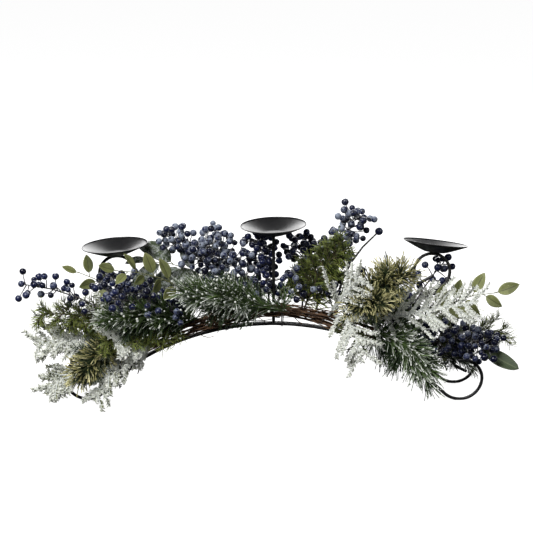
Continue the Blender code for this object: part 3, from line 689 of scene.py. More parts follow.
def dishProfile():
    bead, tuck, sheet = dish["bead"], dish["tuck"], dish["sheet"]
    wall = dish["radius"] - bead
    inside = []
    for step in range(dish["wallSteps"] + 1):
        way = step / dish["wallSteps"]
        rise = dish["depth"] * way ** dish["wallCurve"]
        inside.append((dish["floorRadius"] + (wall - dish["floorRadius"]) * way, rise))
    lip = []
    for step in range(1, dish["lipSteps"] + 1):
        turn = math.pi * (0.75 - step / 4.5)
        lip.append((wall + bead * math.cos(turn), dish["depth"] - tuck + bead * math.sin(turn)))
    under = [(radius + tuck, rise - sheet) for radius, rise in reversed(inside[:-1])]
    return [(dish["hub"], 0.0)] + inside + lip + under + [(dish["hub"], -sheet)]


def addDish(node, placed):
    drop = Vector((0.0, 0.0, -dish["sheet"]))
    floorEdge = Vector((dish["floorRadius"], 0.0, 0.0))
    rim = Vector((dish["radius"] - dish["sheet"] / 2, 0.0, dish["depth"]))
    room = dish["sheet"] * 2
    for step in range(dish["spokes"]):
        spin = Matrix.Rotation(math.radians(360.0 / dish["spokes"] * step), 4, "Z")
        space.take(node, placed @ drop, placed @ spin @ floorEdge, room)
        space.take(node, placed @ spin @ floorEdge, placed @ spin @ rim, room)
    # the candle's room stays free
    top = Vector((0.0, 0.0, dish["depth"]))
    candle = [placed @ (top * dish[height]) for height in ("candleFrom", "candleTo")]
    space.take(node, *candle, dish["radius"] * dish["candleShare"])
    shape = Shape()
    rings = []
    for radius, height in dishProfile():
        ring = []
        for step in range(dish["segments"]):
            turn = fullTurn * step / dish["segments"]
            spot = placed @ Vector((radius * math.cos(turn), radius * math.sin(turn), height))
            ring.append(shape.addPoint(spot, (radius, step / dish["segments"])))
        rings.append(ring)
    for near, far in zip(rings, rings[1:]):
        for step in range(dish["segments"]):
            after = (step + 1) % dish["segments"]
            shape.addFace((near[step], far[step], far[after], near[after]))
    shape.addFace(rings[0])
    shape.addFace(reversed(rings[-1]))
    settle(shape.makeObject(node, "dish"), node, "dish_black")


def addBracket(side, node, bar, dishNode, lean):
    station = side * bracket["reach"]
    height = archHeight(station)
    ends = [Vector((station, hand * barReach(station), height)) for hand in (-1, 1)]
    addRod(bar, ends, ends)
    foot = Vector((station, 0.0, height + rodFlat + fit["gap"]))
    leaning = (
        Matrix.Translation(foot + up * bracket["foot"])
        @ Matrix.Rotation(math.radians(-lean[1]), 4, "X")
        @ Matrix.Rotation(math.radians(side * lean[0]), 4, "Y")
    )
    moves = [
        (0, bracket["post"], 1),
        (bracket["bend"], -bracket["bendTurn"], 4),
        (bracket["ringRadius"], bracket["ringTurn"], 16),
        (bracket["endRadius"], bracket["endTurn"], 3),
        (0, bracket["endRun"], 1),
    ]
    paths = []
    for finer in (1, rod["finer"]):
        outline = bendPath((0.0, 0.0), math.pi / 2, moves, finer)
        paths.append([foot] + [leaning @ Vector((side * x, 0.0, z)) for x, z in outline])
    addRod(node, *paths)
    bendTurn = math.sin(math.radians(bracket["bendTurn"]))
    ringMiddle = bracket["post"] + bracket["bend"] * bendTurn + bracket["ringRadius"] * bendTurn
    floor = ringMiddle + bracket["ringRadius"] + rod["radius"] + fit["gap"] + dish["sheet"]
    addDish(dishNode, leaning @ Matrix.Translation(up * floor))


def makeStand():
    hook = [(rod["hookRadius"], rod["hookTurn"], 5)]
    curl = [
        (rod["curlRadius"], rod["curlTurn"], 8),
        (rod["endRadius"], rod["endTurn"], 2),
        (0, rod["endRun"], 1),
    ]
    addRod("front_arch_rod", rodPoints(-1, hook), rodPoints(-1, hook, rod["finer"]))
    addRod("rear_arch_rod", rodPoints(1, curl), rodPoints(1, curl, rod["finer"]))
    floor = dish["rimHeight"] - dish["depth"]
    stem = [up * stemFoot, up * (floor - dish["sheet"] - fit["gap"])]
    addRod("centre_stem", stem, stem)
    roll = Matrix.Rotation(math.radians(-dish["roll"]), 4, "Y")
    addDish("centre_dish", Matrix.Translation(up * floor) @ roll)
    addBracket(-1, "left_ring_bracket", "left_saddle_bar", "left_dish", bracket["leftLean"])
    addBracket(1, "right_ring_bracket", "right_saddle_bar", "right_dish", bracket["rightLean"])
    print("stand made")


# grapevine: each strand is a knobbly cane with thin runners laid round it
cane = {"points": 150, "sides": 9, "width": 0.84, "knob": 0.30, "knobScale": 95.0}
runner = {
    "count": 11, "radius": 0.00080, "sides": 6, "lay": 0.0030, "turns": 2.0, "lastStart": 60, "points": (50, 89),
    "wander": 0.5, "wanderScale": 60.0, "thickness": (0.65, 1.2),
}
# short side twigs: strand, station, how far the middle and the tip lie from the strand, then the radius
spur = {"bow": 1.4, "taper": (1.0, 1.0, 1.0, 0.9, 0.8, 0.6), "sides": 6}
spurs = (
    (0, -0.205, (0.000, -0.008, -0.016), (-0.004, -0.012, -0.032), 0.0012),
    (4, -0.070, (0.030, -0.003, -0.009), (0.074, -0.002, -0.004), 0.0009),
    (3, -0.020, (0.030, -0.004, -0.009), (0.070, -0.003, -0.003), 0.0010),
    (2, -0.045, (0.026, -0.004, -0.010), (0.060, -0.006, -0.006), 0.0008),
    (3, 0.196, (0.012, -0.010, -0.012), (0.024, -0.014, -0.018), 0.0012),
    (4, 0.030, (0.012, -0.006, -0.013), (0.034, -0.003, -0.012), 0.0007),
    (4, -0.030, (0.016, -0.008, -0.014), (0.040, -0.005, -0.011), 0.0006),
    (2, 0.052, (0.016, -0.010, 0.010), (0.040, -0.014, 0.012), 0.0010),
    (1, 0.064, (0.014, -0.012, 0.006), (0.036, -0.020, 0.004), 0.0008),
    (0, -0.120, (0.012, -0.008, -0.008), (0.030, -0.010, -0.004), 0.0007),
)
seeds = {"vine": 40, "growth": 1, "needles": 200, "berries": 300, "leaves": 400}


def addRunner(shape, strand, index, path, dice):
    first = dice.randint(0, runner["lastStart"])
    stretch = path[first:min(first + dice.randint(*runner["points"]), len(path) - 1)]
    phase = dice.uniform(0, fullTurn)
    turns = dice.uniform(0.5, 1.0) * runner["turns"]
    offset = Vector((index * 3.0, strand * 5.0, 0))
    spots = []
    for step, point in enumerate(stretch):
        head = aimAt(path, first + step)
        side = head.cross(across).normalized()
        away = swung(side, head.cross(side), phase + turns * fullTurn * step / len(stretch))
        wander = 1.0 + runner["wander"] * noise.noise(point * runner["wanderScale"] + offset)
        spots.append(point + away * (vine["radii"][strand] + runner["lay"] * wander))
    thick = runner["radius"] * dice.uniform(*runner["thickness"])
    shape.addTube(spots, [thick] * len(spots), runner["sides"])


def makeVine():
    for strand, radius in enumerate(vine["radii"]):
        node = f"vine_strand_{strand + 1}"
        space.takePath(node, vinePoints(strand, vine["stations"]), radius)
        dice = random.Random(seeds["vine"] + strand)
        path = vinePoints(strand, cane["points"])
        offset = Vector((strand * 7.0, 0, 0))
        knobs = [noise.noise(point * cane["knobScale"] + offset) for point in path]
        shape = Shape()
        shape.addTube(path, [radius * (cane["width"] + cane["knob"] * knob) for knob in knobs], cane["sides"])
        for index in range(runner["count"]):
            addRunner(shape, strand, index, path, dice)
        for owner, station, middle, tip, thick in spurs:
            if owner == strand:
                root = vineMiddle(strand, station)
                bend = spineCurve(root, root + Vector(middle) * spur["bow"], root + Vector(tip))
                shape.addTube(bend, [thick * share for share in spur["taper"]], spur["sides"])
        settle(shape.makeObject(node, "bark"), node, "vine_bark")
    for node, station in tie["stations"].items():
        points = tiePoints(station)
        space.takePath(node, points, tie["radius"])
        shape = Shape()
        shape.addTube(points, [tie["radius"]] * len(points), tie["sides"])
        settle(shape.makeObject(node, "tie"), node, "tie_wire")
    space.standRods = len(space.rods)
    print("vine and ties made")


# sprays: the same growth rules as the solids, so that each dressed twig follows its solid
Kind = namedtuple("Kind", "form slot stem bare length width angle")
kinds = {
    "snowy_fir": Kind("fir", "flocked_needle", 0.0014, 0.30, 0.046, 0.0042, 46.0),
    "green_fir": Kind("fir", "green_needle", 0.0013, 0.30, 0.040, 0.0034, 42.0),
    "snow_pine": Kind("pine", "pine_needle", 0.0014, 0.30, 0.052, 0.0022, 36.0),
    "golden_pine": Kind("pine", "golden_needle", 0.0014, 0.42, 0.036, 0.0026, 46.0),
    "berry": Kind("berry", "berry_skin", 0.0012, 0.34, 0.024, 0.0055, 60.0),
    "oval_leaf": Kind("leaf", "oval_leaf", 0.0011, 0.40, 0.031, 0.0084, 52.0),
    "laurel": Kind("leaf", "laurel_leaf", 0.0012, 0.38, 0.058, 0.0112, 34.0),
}
# how a stem finds a free way: slides of its seat along the vine, then bows of its middle and tip
spinePoints = 6
seatSlides = (0.0, 0.004, -0.004, 0.008, -0.008, 0.013, -0.013, 0.019, -0.019)
bowSwings = (0.0, 0.10, 0.22)
bowReaches = (0.08, 0.15, 0.24, 0.34, 0.46)
bowTurns = 8
seatStrands = 3
leastLeave = 0.1
# how twigs, berries and leaves are tried until there is room
sleeveShares = (1.0, 0.8, 0.6)
fingerShares = (1.0, 0.8, 0.6, 0.42)
fingerRoot = 0.35
fingerSizes = (0.85, 1.1)
goldenTurn = 2.4
sways = {"fir": 6, "pine": 5, "berry": 14, "leaf": 10}
tilts = {"fir": (-0.25, 0.45), "leaf": (-0.3, 0.5)}
firTries = (0.0, 0.5, -0.5, 0.9)
pineTries = (0.0, 0.7, -0.7, 1.4)
faceRise = 0.55
faceOut = 0.85
berryStemRadius = 0.0008
leafStalk = 0.006
rearFacingDepth = 0.050
berryTries = ((0, 1.0), (0.8, 1.0), (-0.8, 1.0), (1.6, 0.8), (-1.6, 0.8), (2.6, 0.6), (0, 1.5), (1.2, 1.5))
leafTries = ((0, 1.0), (0.5, 1.0), (-0.5, 1.0), (0.9, 1.0), (-0.9, 0.9), (1.3, 0.9), (0, 0.7), (-0.8, 0.65))
leafRoom = 0.25
leafRibs = ((-0.75, 0.30, 0.72), (-0.4, 0.16, 0.84), (0, 0.08, 0.94), (0.4, 0.16, 0.84), (0.75, 0.30, 0.72))

# share is the seat's place along the vine, rise the bow of the stem, count its twigs, frost how snowy it is
Spray = namedtuple("Spray", "name kind share reach rise count frost")
sprays = [Spray(*row) for row in (
    ("left_tip_berry_spray", "berry", -0.92, (-0.183, -0.015, 0.108), 0.030, 11, 0.45),
    ("left_tip_leaf_sprig", "oval_leaf", -0.85, (-0.117, 0.004, 0.114), 0.018, 7, 0.35),
    ("left_tip_green_fir", "green_fir", -0.95, (-0.155, -0.040, 0.070), 0.022, 9, 0.15),
    ("left_end_snowy_fir", "snowy_fir", -0.98, (-0.149, -0.045, 0.027), 0.018, 8, 0.72),
    ("left_low_snowy_fir", "snowy_fir", -1.00, (-0.130, -0.060, -0.043), 0.020, 8, 0.64),
    ("left_golden_pine", "golden_pine", -0.97, (-0.075, -0.080, -0.005), 0.018, 10, 0.20),
    ("left_front_snowy_fir", "snowy_fir", -0.88, (-0.078, -0.088, -0.060), 0.022, 8, 0.62),
    ("left_small_snowy_fir", "snowy_fir", -0.82, (-0.057, -0.086, 0.021), 0.006, 7, 1.15),
    ("left_green_fir", "green_fir", -0.60, (-0.126, -0.080, 0.005), 0.004, 9, 0.05),
    ("left_snow_pine", "snow_pine", -0.50, (-0.128, -0.074, 0.034), 0.006, 10, 0.28),
    ("left_rear_snowy_fir", "snowy_fir", -0.75, (-0.147, -0.016, 0.040), 0.020, 8, 0.66),
    ("left_berry_spray", "berry", -0.61, (-0.128, -0.038, 0.095), 0.012, 10, 0.62),
    ("left_low_berry_spray", "berry", -0.55, (-0.125, -0.076, 0.067), 0.010, 8, 0.45),
    ("left_leaf_sprig", "oval_leaf", -0.43, (-0.143, -0.074, 0.103), 0.022, 8, 0.22),
    ("left_laurel_sprig", "laurel", -0.32, (-0.125, 0.004, 0.089), 0.004, 6, 0.76),
    ("upper_left_berry_spray", "berry", -0.20, (-0.123, 0.024, 0.121), 0.012, 10, 0.90),
    ("centre_berry_spray", "berry", -0.08, (-0.090, -0.012, 0.117), 0.010, 11, 0.88),
    ("rear_centre_berry_spray", "berry", -0.03, (-0.017, 0.044, 0.107), 0.010, 10, 0.30),
    ("centre_snow_pine", "snow_pine", 0.11, (-0.139, -0.076, 0.051), 0.004, 12, 0.46),
    ("centre_green_fir", "green_fir", 0.21, (0.059, -0.034, 0.121), 0.008, 11, 0.08),
    ("upper_right_berry_spray", "berry", 0.29, (0.063, 0.014, 0.162), 0.006, 11, 0.94),
    ("curved_berry_twig", "berry", 0.43, (0.067, 0.030, 0.135), 0.020, 3, 0.40),
    ("centre_snowy_fir", "snowy_fir", 0.38, (0.048, -0.074, 0.088), 0.004, 8, 1.05),
    ("hanging_snowy_fir", "snowy_fir", 0.42, (0.041, -0.084, -0.038), 0.026, 8, 0.80),
    ("right_golden_pine", "golden_pine", 0.54, (0.070, -0.056, 0.097), 0.012, 11, 0.20),
    ("right_low_golden_pine", "golden_pine", 0.50, (0.046, -0.082, 0.062), 0.008, 9, 0.20),
    ("right_snowy_fir", "snowy_fir", 0.62, (0.167, -0.086, 0.070), 0.004, 13, 1.10),
    ("right_snow_pine", "snow_pine", 0.67, (0.074, -0.080, -0.028), 0.020, 11, 0.38),
    ("right_rear_berry_spray", "berry", 0.88, (0.082, 0.066, 0.122), 0.012, 8, 0.40),
    ("right_berry_spray", "berry", 0.93, (0.133, -0.054, 0.018), 0.018, 11, 0.64),
    ("right_laurel_sprig", "laurel", 0.96, (0.111, -0.044, 0.018), 0.020, 6, 0.08),
    ("right_tip_leaf_sprig", "oval_leaf", 0.99, (0.127, -0.016, 0.104), 0.022, 7, 0.55),
    ("right_tip_green_fir", "green_fir", 1.00, (0.146, -0.004, 0.035), 0.020, 6, 0.30),
    ("right_low_snow_pine", "snow_pine", 0.98, (0.086, 0.014, -0.016), 0.022, 6, 0.75),
    ("rear_left_snowy_fir", "snowy_fir", -0.79, (-0.118, 0.076, -0.018), 0.020, 8, 0.85),
    ("rear_left_snow_pine", "snow_pine", -0.54, (-0.097, 0.082, 0.032), 0.014, 9, 0.60),
    ("rear_left_golden_pine", "golden_pine", -0.28, (-0.060, 0.086, 0.015), 0.014, 9, 0.20),
    ("rear_centre_snowy_fir", "snowy_fir", 0.02, (0.048, 0.092, 0.043), 0.012, 8, 0.90),
    ("rear_right_berry_spray", "berry", 0.20, (0.007, 0.042, 0.114), 0.006, 9, 0.62),
    ("rear_right_snow_pine", "snow_pine", 0.57, (0.080, 0.088, 0.012), 0.016, 9, 0.60),
    ("rear_right_snowy_fir", "snowy_fir", 0.81, (0.122, 0.076, -0.010), 0.020, 8, 0.90),
)]


def spineCurve(seat, middle, tip):
    steps = np.linspace(0.0, 1.0, spinePoints)
    return [seat * (1 - t) ** 2 + middle * (2 * t * (1 - t)) + tip * t * t for t in steps]


def planSpine(spray):
    for slide in seatSlides:
        station = max(-dressedReach, min(spray.share * dressedReach + slide, dressedReach))
        points = freeSpine(spray, station)
        if points:
            space.takePath(spray.name, points, kinds[spray.kind].stem)
            return points
    raise SystemExit(f"no free way for the stem of {spray.name}")


def freeSpine(spray, station):
    kind = kinds[spray.kind]
    centre, out = bundleFrame(station)
    chord = Vector(spray.reach)
    aside = chord.cross(up).normalized()
    over = aside.cross(chord).normalized()
    wanted = math.atan2((chord + up * spray.rise).dot(out), chord.dot(front))

    def strandMiss(strand):
        miss = vineAngle(strand, station) - wanted
        return abs((miss + math.pi) % fullTurn - math.pi)

    bows = [(Vector(), 0.0, 0.0)]
    for swing in bowSwings:
        for reach in bowReaches:
            for step in range(bowTurns):
                bows.append((swung(over, aside, fullTurn * step / bowTurns), reach, swing))
    for strand in sorted(range(len(vine["radii"])), key=strandMiss)[:seatStrands]:
        outward = vineOutward(strand, station)
        rest = vineMiddle(strand, station) + outward * vine["radii"][strand]
        for bow, reach, swing in bows:
            middle = centre + chord * 0.5 + over * 2 * spray.rise + bow * reach * chord.length
            tip = centre + chord + bow * swing * chord.length
            leaves = (middle - rest).normalized().dot(outward)
            if leaves < leastLeave:
                continue
            seat = rest + outward * (fit["gap"] + kind.stem * math.sqrt(1 - leaves * leaves))
            points = spineCurve(seat, middle, tip)
            own = (spray.name, f"vine_strand_{strand + 1}")
            clear = space.isFree(own, points[0], points[1], kind.stem)
            for near, far in zip(points[1:], points[2:]):
                clear = clear and space.isFree((spray.name,), near, far, kind.stem)
            if clear:
                return points
    return None


def alongSpine(points, way):
    place = way * (len(points) - 1)
    index = min(int(place), len(points) - 2)
    near, far = points[index:index + 2]
    return near.lerp(far, place - index), (far - near).normalized()


def sprayFaces(spray, ahead):
    toward = up * faceRise + front * (faceOut if spray.reach[1] < rearFacingDepth else -faceOut)
    face = (toward - ahead * toward.dot(ahead)).normalized()
    return ahead.cross(face), face


# a place on a stem, and its directions onward, aside and to the viewer
def standAt(spray, spine, way):
    start, ahead = alongSpine(spine, way)
    return (start, ahead, *sprayFaces(spray, ahead))


def fits(name, start, end, radius):
    return space.isFree((name,), start, end, radius)


# a fir's needles make its stem thicker where there is room
def sleeveStem(spray, kind, spine):
    ways = [0.0, kind.bare * 0.55] + list(np.linspace(kind.bare, 1.0, 5))
    spots = [alongSpine(spine, way)[0] for way in ways]
    widths = [kind.stem, kind.stem, kind.stem]
    for index in range(3, len(spots)):
        after = spots[min(index + 1, len(spots) - 1)]
        widths.append(kind.stem)
        for share in sleeveShares:
            if fits(spray.name, spots[index - 1], after, kind.width * share):
                widths[-1] = kind.width * share
                break
    for index in range(2, len(spots) - 1):
        space.take(spray.name, spots[index], spots[index + 1], max(widths[index], widths[index + 1]))


def growFinger(spray, start, direction, length, width, fingers):
    for share in fingerShares:
        end = start + direction * length * share
        if not space.isClearOfOwn(spray.name, start.lerp(end, fingerRoot), end, width, False):
            continue
        if fits(spray.name, start, end, width):
            space.take(spray.name, start, end, width, True)
            fingers.append((start, end))
            return True
    return False


def growFir(spray, kind, spine, dice):
    fingers = []
    for index in range(spray.count):
        way = kind.bare + (1 - kind.bare) * (index + 0.2) / spray.count
        start, ahead, side, face = standAt(spray, spine, way)
        hand = 1 if index % 2 else -1
        length = kind.length * (1 - 0.5 * index / spray.count) * dice.uniform(*fingerSizes)
        tilt = dice.uniform(*tilts["fir"])
        angle = math.radians(kind.angle + dice.uniform(-sways["fir"], sways["fir"]))
        for more in firTries:
            aim = swung(ahead, side * hand + face * (tilt + more), angle).normalized()
            if growFinger(spray, start, aim, length, kind.width, fingers):
                break
    return fingers


def growPine(spray, kind, spine, dice):
    fingers = []
    for index in range(spray.count):
        way = kind.bare + (1 - kind.bare) * (index + 0.9) / spray.count
        start, ahead, side, face = standAt(spray, spine, min(way, 0.995))
        roundSpine = goldenTurn * index + dice.uniform(-0.3, 0.3)
        late = index / spray.count
        angle = math.radians(kind.angle * (1.15 - 0.75 * late) + dice.uniform(-sways["pine"], sways["pine"]))
        length = kind.length * dice.uniform(*fingerSizes)
        for more in pineTries:
            aim = swung(ahead, swung(side, face, roundSpine + more), angle).normalized()
            if growFinger(spray, start, aim, length, kind.width, fingers):
                break
    return fingers


def berryFits(name, start, middle, radius, last):
    if not fits(name, middle, middle, radius) or not fits(name, start, middle, berryStemRadius):
        return False
    if not space.isClearOfOwn(name, middle, middle, radius, not last):
        return False
    return space.isClearOfOwn(name, start, middle, berryStemRadius, False)


def growBerries(spray, kind, spine, dice):
    berries = []
    for index in range(spray.count):
        last = index == spray.count - 1
        way = 1.0 if last else kind.bare + (1.0 - kind.bare) * (index + 0.5) / spray.count
        start, ahead, side, face = standAt(spray, spine, way)
        roundSpine = goldenTurn * index + dice.uniform(-0.4, 0.4)
        angle = math.radians(0.0 if last else kind.angle + dice.uniform(-sways["berry"], sways["berry"]))
        radius = kind.width * dice.uniform(0.86, 1.06)
        length = kind.width * 0.5 if last else kind.length * dice.uniform(0.55, 1.25)
        for more, share in berryTries:
            aim = swung(ahead, swung(side, face, roundSpine + more), angle).normalized()
            middle = start + aim * length * share
            if berryFits(spray.name, start, middle, radius, last):
                space.take(spray.name, start, middle, berryStemRadius, True)
                space.take(spray.name, middle, middle, radius, True)
                berries.append((start, middle, radius))
                # three more draws keep the dice in step with the solid's
                for _ in range(3):
                    dice.random()
                break
    return berries


def growLeaves(spray, kind, spine, dice):
    leaves = []
    for index in range(spray.count):
        last = index == spray.count - 1
        way = kind.bare + (0.97 - kind.bare) * (index + 0.4) / (spray.count - 0.6)
        start, ahead, side, face = standAt(spray, spine, min(way, 0.985))
        hand = 1 if index % 2 else -1
        size = dice.uniform(*fingerSizes) * (1 - 0.25 * index / spray.count)
        angle = math.radians(8.0 if last else kind.angle + dice.uniform(-sways["leaf"], sways["leaf"]))
        tilt = dice.uniform(*tilts["leaf"])
        for more, share in leafTries:
            aim = swung(ahead, side * hand + face * (tilt + more), angle).normalized()
            length, halfWidth = kind.length * size * share, kind.width * size * share
            if growLeaf(spray, start, aim, face, length, halfWidth, leaves):
                break
    return leaves


def growLeaf(spray, start, aim, face, length, halfWidth, leaves):
    base = start + aim * leafStalk
    side = aim.cross(face).normalized()
    ribs = []
    for offset, near, far in leafRibs:
        place = base + side * halfWidth * offset
        ribs.append((place + aim * length * near, place + aim * length * far))
    room = halfWidth * leafRoom
    if not fits(spray.name, start, base, berryStemRadius):
        return False
    for near, far in ribs:
        if not fits(spray.name, near, far, room) or not space.isClearOfOwn(spray.name, near, far, room, False):
            return False
    for near, far in ribs:
        space.take(spray.name, near, far, room, True)
    space.take(spray.name, start, base, berryStemRadius, True)
    leaves.append((start, aim, side, length, halfWidth))
    return True


growers = {"fir": growFir, "pine": growPine, "berry": growBerries, "leaf": growLeaves}


# lines of points with what the trees need at each: direction, twig radius, needle size, berry radius, snow, whose 0
# on the growth behind also paints that growth darker as shade
class Lines:
    def __init__(self, face):
        self.face = face
        self.points = []
        self.edges = []
        self.aims = []
        self.marks = []

    def addPoint(self, point, aim, thick, size, berry=0.0, snow=1.0):
        self.points.append(tuple(point))
        self.aims.append(tuple(aim))
        self.marks.append((thick, size, berry, snow))

    def addLine(self, points, thick, sizes, snow=1.0):
        for index, (point, size) in enumerate(zip(points, sizes)):
            thinned = thick * (1 - 0.5 * index / (len(points) - 1))
            self.addPoint(point, aimAt(points, index), thinned, size, 0.0, snow)
            if index:
                self.edges.append((len(self.points) - 2, len(self.points) - 1))

    def makeObject(self, node):
        mesh = bpy.data.meshes.new(camelName(node))
        mesh.from_pydata((np.array(self.points) + np.array(shift)).tolist(), self.edges, [])
        for label, values in zip(("thick", "size", "berry", "snow"), zip(*self.marks)):
            mesh.attributes.new(label, "FLOAT", "POINT").data.foreach_set("value", values)
        faces = [tuple(self.face)] * len(self.points)
        for label, vectors in (("aim", self.aims), ("face", faces)):
            mark = mesh.attributes.new(label, "FLOAT_VECTOR", "POINT")
            mark.data.foreach_set("vector", np.array(vectors).ravel())
        return addObject(mesh)


def newTree(name, **inputs):
    tree = bpy.data.node_groups.new(name, "GeometryNodeTree")
    for kind, labels in {"Geometry": ["Lines"], **inputs}.items():
        for label in labels:
            tree.interface.new_socket(label, in_out="INPUT", socket_type=f"NodeSocket{kind}")
    tree.interface.new_socket("Spray", in_out="OUTPUT", socket_type="NodeSocketGeometry")
    entry = tree.nodes.new("NodeGroupInput")
    given = {socket.name: Wire(tree, socket) for socket in entry.outputs if socket.name}
    return tree, Wire(tree), given


def readMark(wire, label, kind="FLOAT"):
    return wire.node("GeometryNodeInputNamedAttribute", {"data_type": kind}, {0: label})


def storeMark(wire, shape, label, value, domain="POINT"):
    links = {"Geometry": shape, "Name": label, "Value": value}
    return wire.node("GeometryNodeStoreNamedAttribute", {"data_type": "FLOAT", "domain": domain}, links)


def withFinish(wire, shape, finish):
    return wire.node("GeometryNodeSetMaterial", {}, {"Geometry": shape, "Material": finish})


def smoothed(wire, shape):
    return wire.node("GeometryNodeSetShadeSmooth", {}, {0: shape})


def shifted(wire, shape, offset):
    return wire.node("GeometryNodeSetPosition", {}, {"Geometry": shape, "Offset": offset})


def vectorOf(wire, parts):
    return wire.node("ShaderNodeCombineXYZ", {}, parts)


def heightOf(wire):
    return axisOf(wire, wire.node("GeometryNodeInputPosition"), 2)


# twigs of every spray: a tube along each line
def twigTubes(wire, given):
    curves = wire.node("GeometryNodeMeshToCurve", {}, {0: given["Lines"]})
    ring = wire.node("GeometryNodeCurvePrimitiveCircle", {}, {"Resolution": 6, "Radius": 1.0})
    links = {"Curve": curves, "Profile Curve": ring, "Scale": readMark(wire, "thick"), "Fill Caps": True}
    tubes = smoothed(wire, wire.node("GeometryNodeCurveToMesh", {}, links))
    return withFinish(wire, tubes, given["Twig finish"]), curves


def randomValue(wire, low, high, seed):
    return wire.node("FunctionNodeRandomValue", {"data_type": "FLOAT"}, {2: low, 3: high, "Seed": seed}, 1)


def isAbove(wire, value, limit):
    settings = {"data_type": "FLOAT", "operation": "GREATER_THAN"}
    return wire.node("FunctionNodeCompare", settings, {0: value, 1: limit})


def joinShapes(wire, *shapes):
    joined = wire.node("GeometryNodeJoinGeometry")
    for shape in shapes:
        wire.tree.links.new(shape.socket, joined.socket.node.inputs[0])
    return joined


def turned(wire, rotation, x, z):
    turn = wire.node("FunctionNodeEulerToRotation", {}, {0: vectorOf(wire, {0: x, 2: z})})
    return wire.node("FunctionNodeRotateRotation", {"rotation_space": "LOCAL"}, {0: rotation, 1: turn})


def aligned(wire, label, settings, more):
    links = {"Vector": readMark(wire, label, "FLOAT_VECTOR"), **more}
    return wire.node("FunctionNodeAlignRotationToVector", settings, links)


# gives each instance its tone and finish, adds the twigs and ends the tree
def endTree(wire, given, grown, tubes, toneSeed):
    grown = storeMark(wire, grown, "tone", randomValue(wire, 0.0, 1.0, toneSeed), "INSTANCE")
    grown = wire.node("GeometryNodeRealizeInstances", {}, {0: grown})
    grown = joinShapes(wire, withFinish(wire, grown, given["Finish"]), tubes)
    result = storeMark(wire, grown, "frost", given["Frost"])
    wire.tree.links.new(result.socket, wire.tree.nodes.new("NodeGroupOutput").inputs[0])


def makeNeedleTree():
    tree, wire, given = newTree(
        "needledSpray",
        Float=(
            "Spacing", "Length", "Root radius", "Tip radius", "Lean", "Lean spread", "Spin spread", "Curve",
            "Frost", "Clot radius", "Clot share",
        ),
        Int=("Steps", "Seed"),
        Material=("Finish", "Twig finish"),
    )
    seed, length = given["Seed"], given["Length"]
    tubes, curves = twigTubes(wire, given)
    links = {"Curve": curves, "Length": given["Spacing"]}
    spots = wire.node("GeometryNodeResampleCurve", {"mode": "LENGTH"}, links)
    cone = wire.node("GeometryNodeMeshCone", {"fill_type": "NGON"}, {
        "Vertices": 3, "Side Segments": given["Steps"], "Radius Top": given["Tip radius"],
        "Radius Bottom": given["Root radius"], "Depth": length,
    })
    cone = storeMark(wire, cone, "along", heightOf(wire) / length)
    along = readMark(wire, "along")
    cone = shifted(wire, cone, vectorOf(wire, {1: along * along * given["Curve"] * length}))
    upright = aligned(wire, "aim", {"axis": "Z"}, {})
    flat = aligned(wire, "face", {"axis": "X", "pivot_axis": "Z"}, {"Rotation": upright})
    hand = wire.sums("ROUND", randomValue(wire, 0.0, 1.0, seed + 4)) * math.pi
    spun = turned(wire, flat, 0.0, hand + given["Spin spread"] * randomValue(wire, -1.0, 1.0, seed))
    lean = given["Lean"] + given["Lean spread"] * randomValue(wire, -1.0, 1.0, seed + 1)
    size = readMark(wire, "size")
    links = {
        "Points": spots, "Instance": cone, "Rotation": turned(wire, spun, lean, 0.0),
        "Selection": isAbove(wire, size, 0.05), "Scale": size * randomValue(wire, 0.78, 1.12, seed + 2),
    }
    needled = wire.node("GeometryNodeInstanceOnPoints", {}, links)
    # clots of snow that sit on some of the tips
    clot = wire.node("GeometryNodeMeshIcoSphere", {}, {"Radius": given["Clot radius"], "Subdivisions": 1})
    tip = vectorOf(wire, {1: given["Curve"] * length, 2: length * 0.97})
    clot = wire.node("GeometryNodeTransform", {}, {"Geometry": clot, "Translation": tip})
    clot = storeMark(wire, clot, "along", 1.6)
    chosen = isAbove(wire, given["Clot share"] * size, randomValue(wire, 0.0, 1.0, seed + 5))
    clots = wire.node("GeometryNodeInstanceOnPoints", {}, dict(links, Instance=clot, Selection=chosen))
    endTree(wire, given, joinShapes(wire, needled, clots), tubes, seed + 3)
    return tree


def makeBerryTree():
    tree, wire, given = newTree(
        "berrySpray", Float=("Frost",), Int=("Segments", "Rings", "Seed"), Material=("Finish", "Twig finish"),
    )
    tubes, _ = twigTubes(wire, given)
    radius = readMark(wire, "berry")
    links = {"Mesh": given["Lines"], "Selection": isAbove(wire, radius, 0.0001)}
    spots = wire.node("GeometryNodeMeshToPoints", {}, links)
    links = {"Segments": given["Segments"], "Rings": given["Rings"], "Radius": 1.0}
    ball = wire.node("GeometryNodeMeshUVSphere", {}, links)
    height = heightOf(wire)
    ball = storeMark(wire, ball, "along", height)
    # a dimple at the crown
    ball = smoothed(wire, shifted(wire, ball, vectorOf(wire, {2: height.ease(0.90, 1.0) * -0.16})))
    upright = aligned(wire, "aim", {"axis": "Z"}, {})
    berries = wire.node("GeometryNodeInstanceOnPoints", {}, {
        "Points": spots, "Instance": ball, "Scale": radius,
        "Rotation": turned(wire, upright, randomValue(wire, -0.6, 0.6, given["Seed"]), 0.0),
    })
    endTree(wire, given, berries, tubes, given["Seed"] + 1)
    return tree


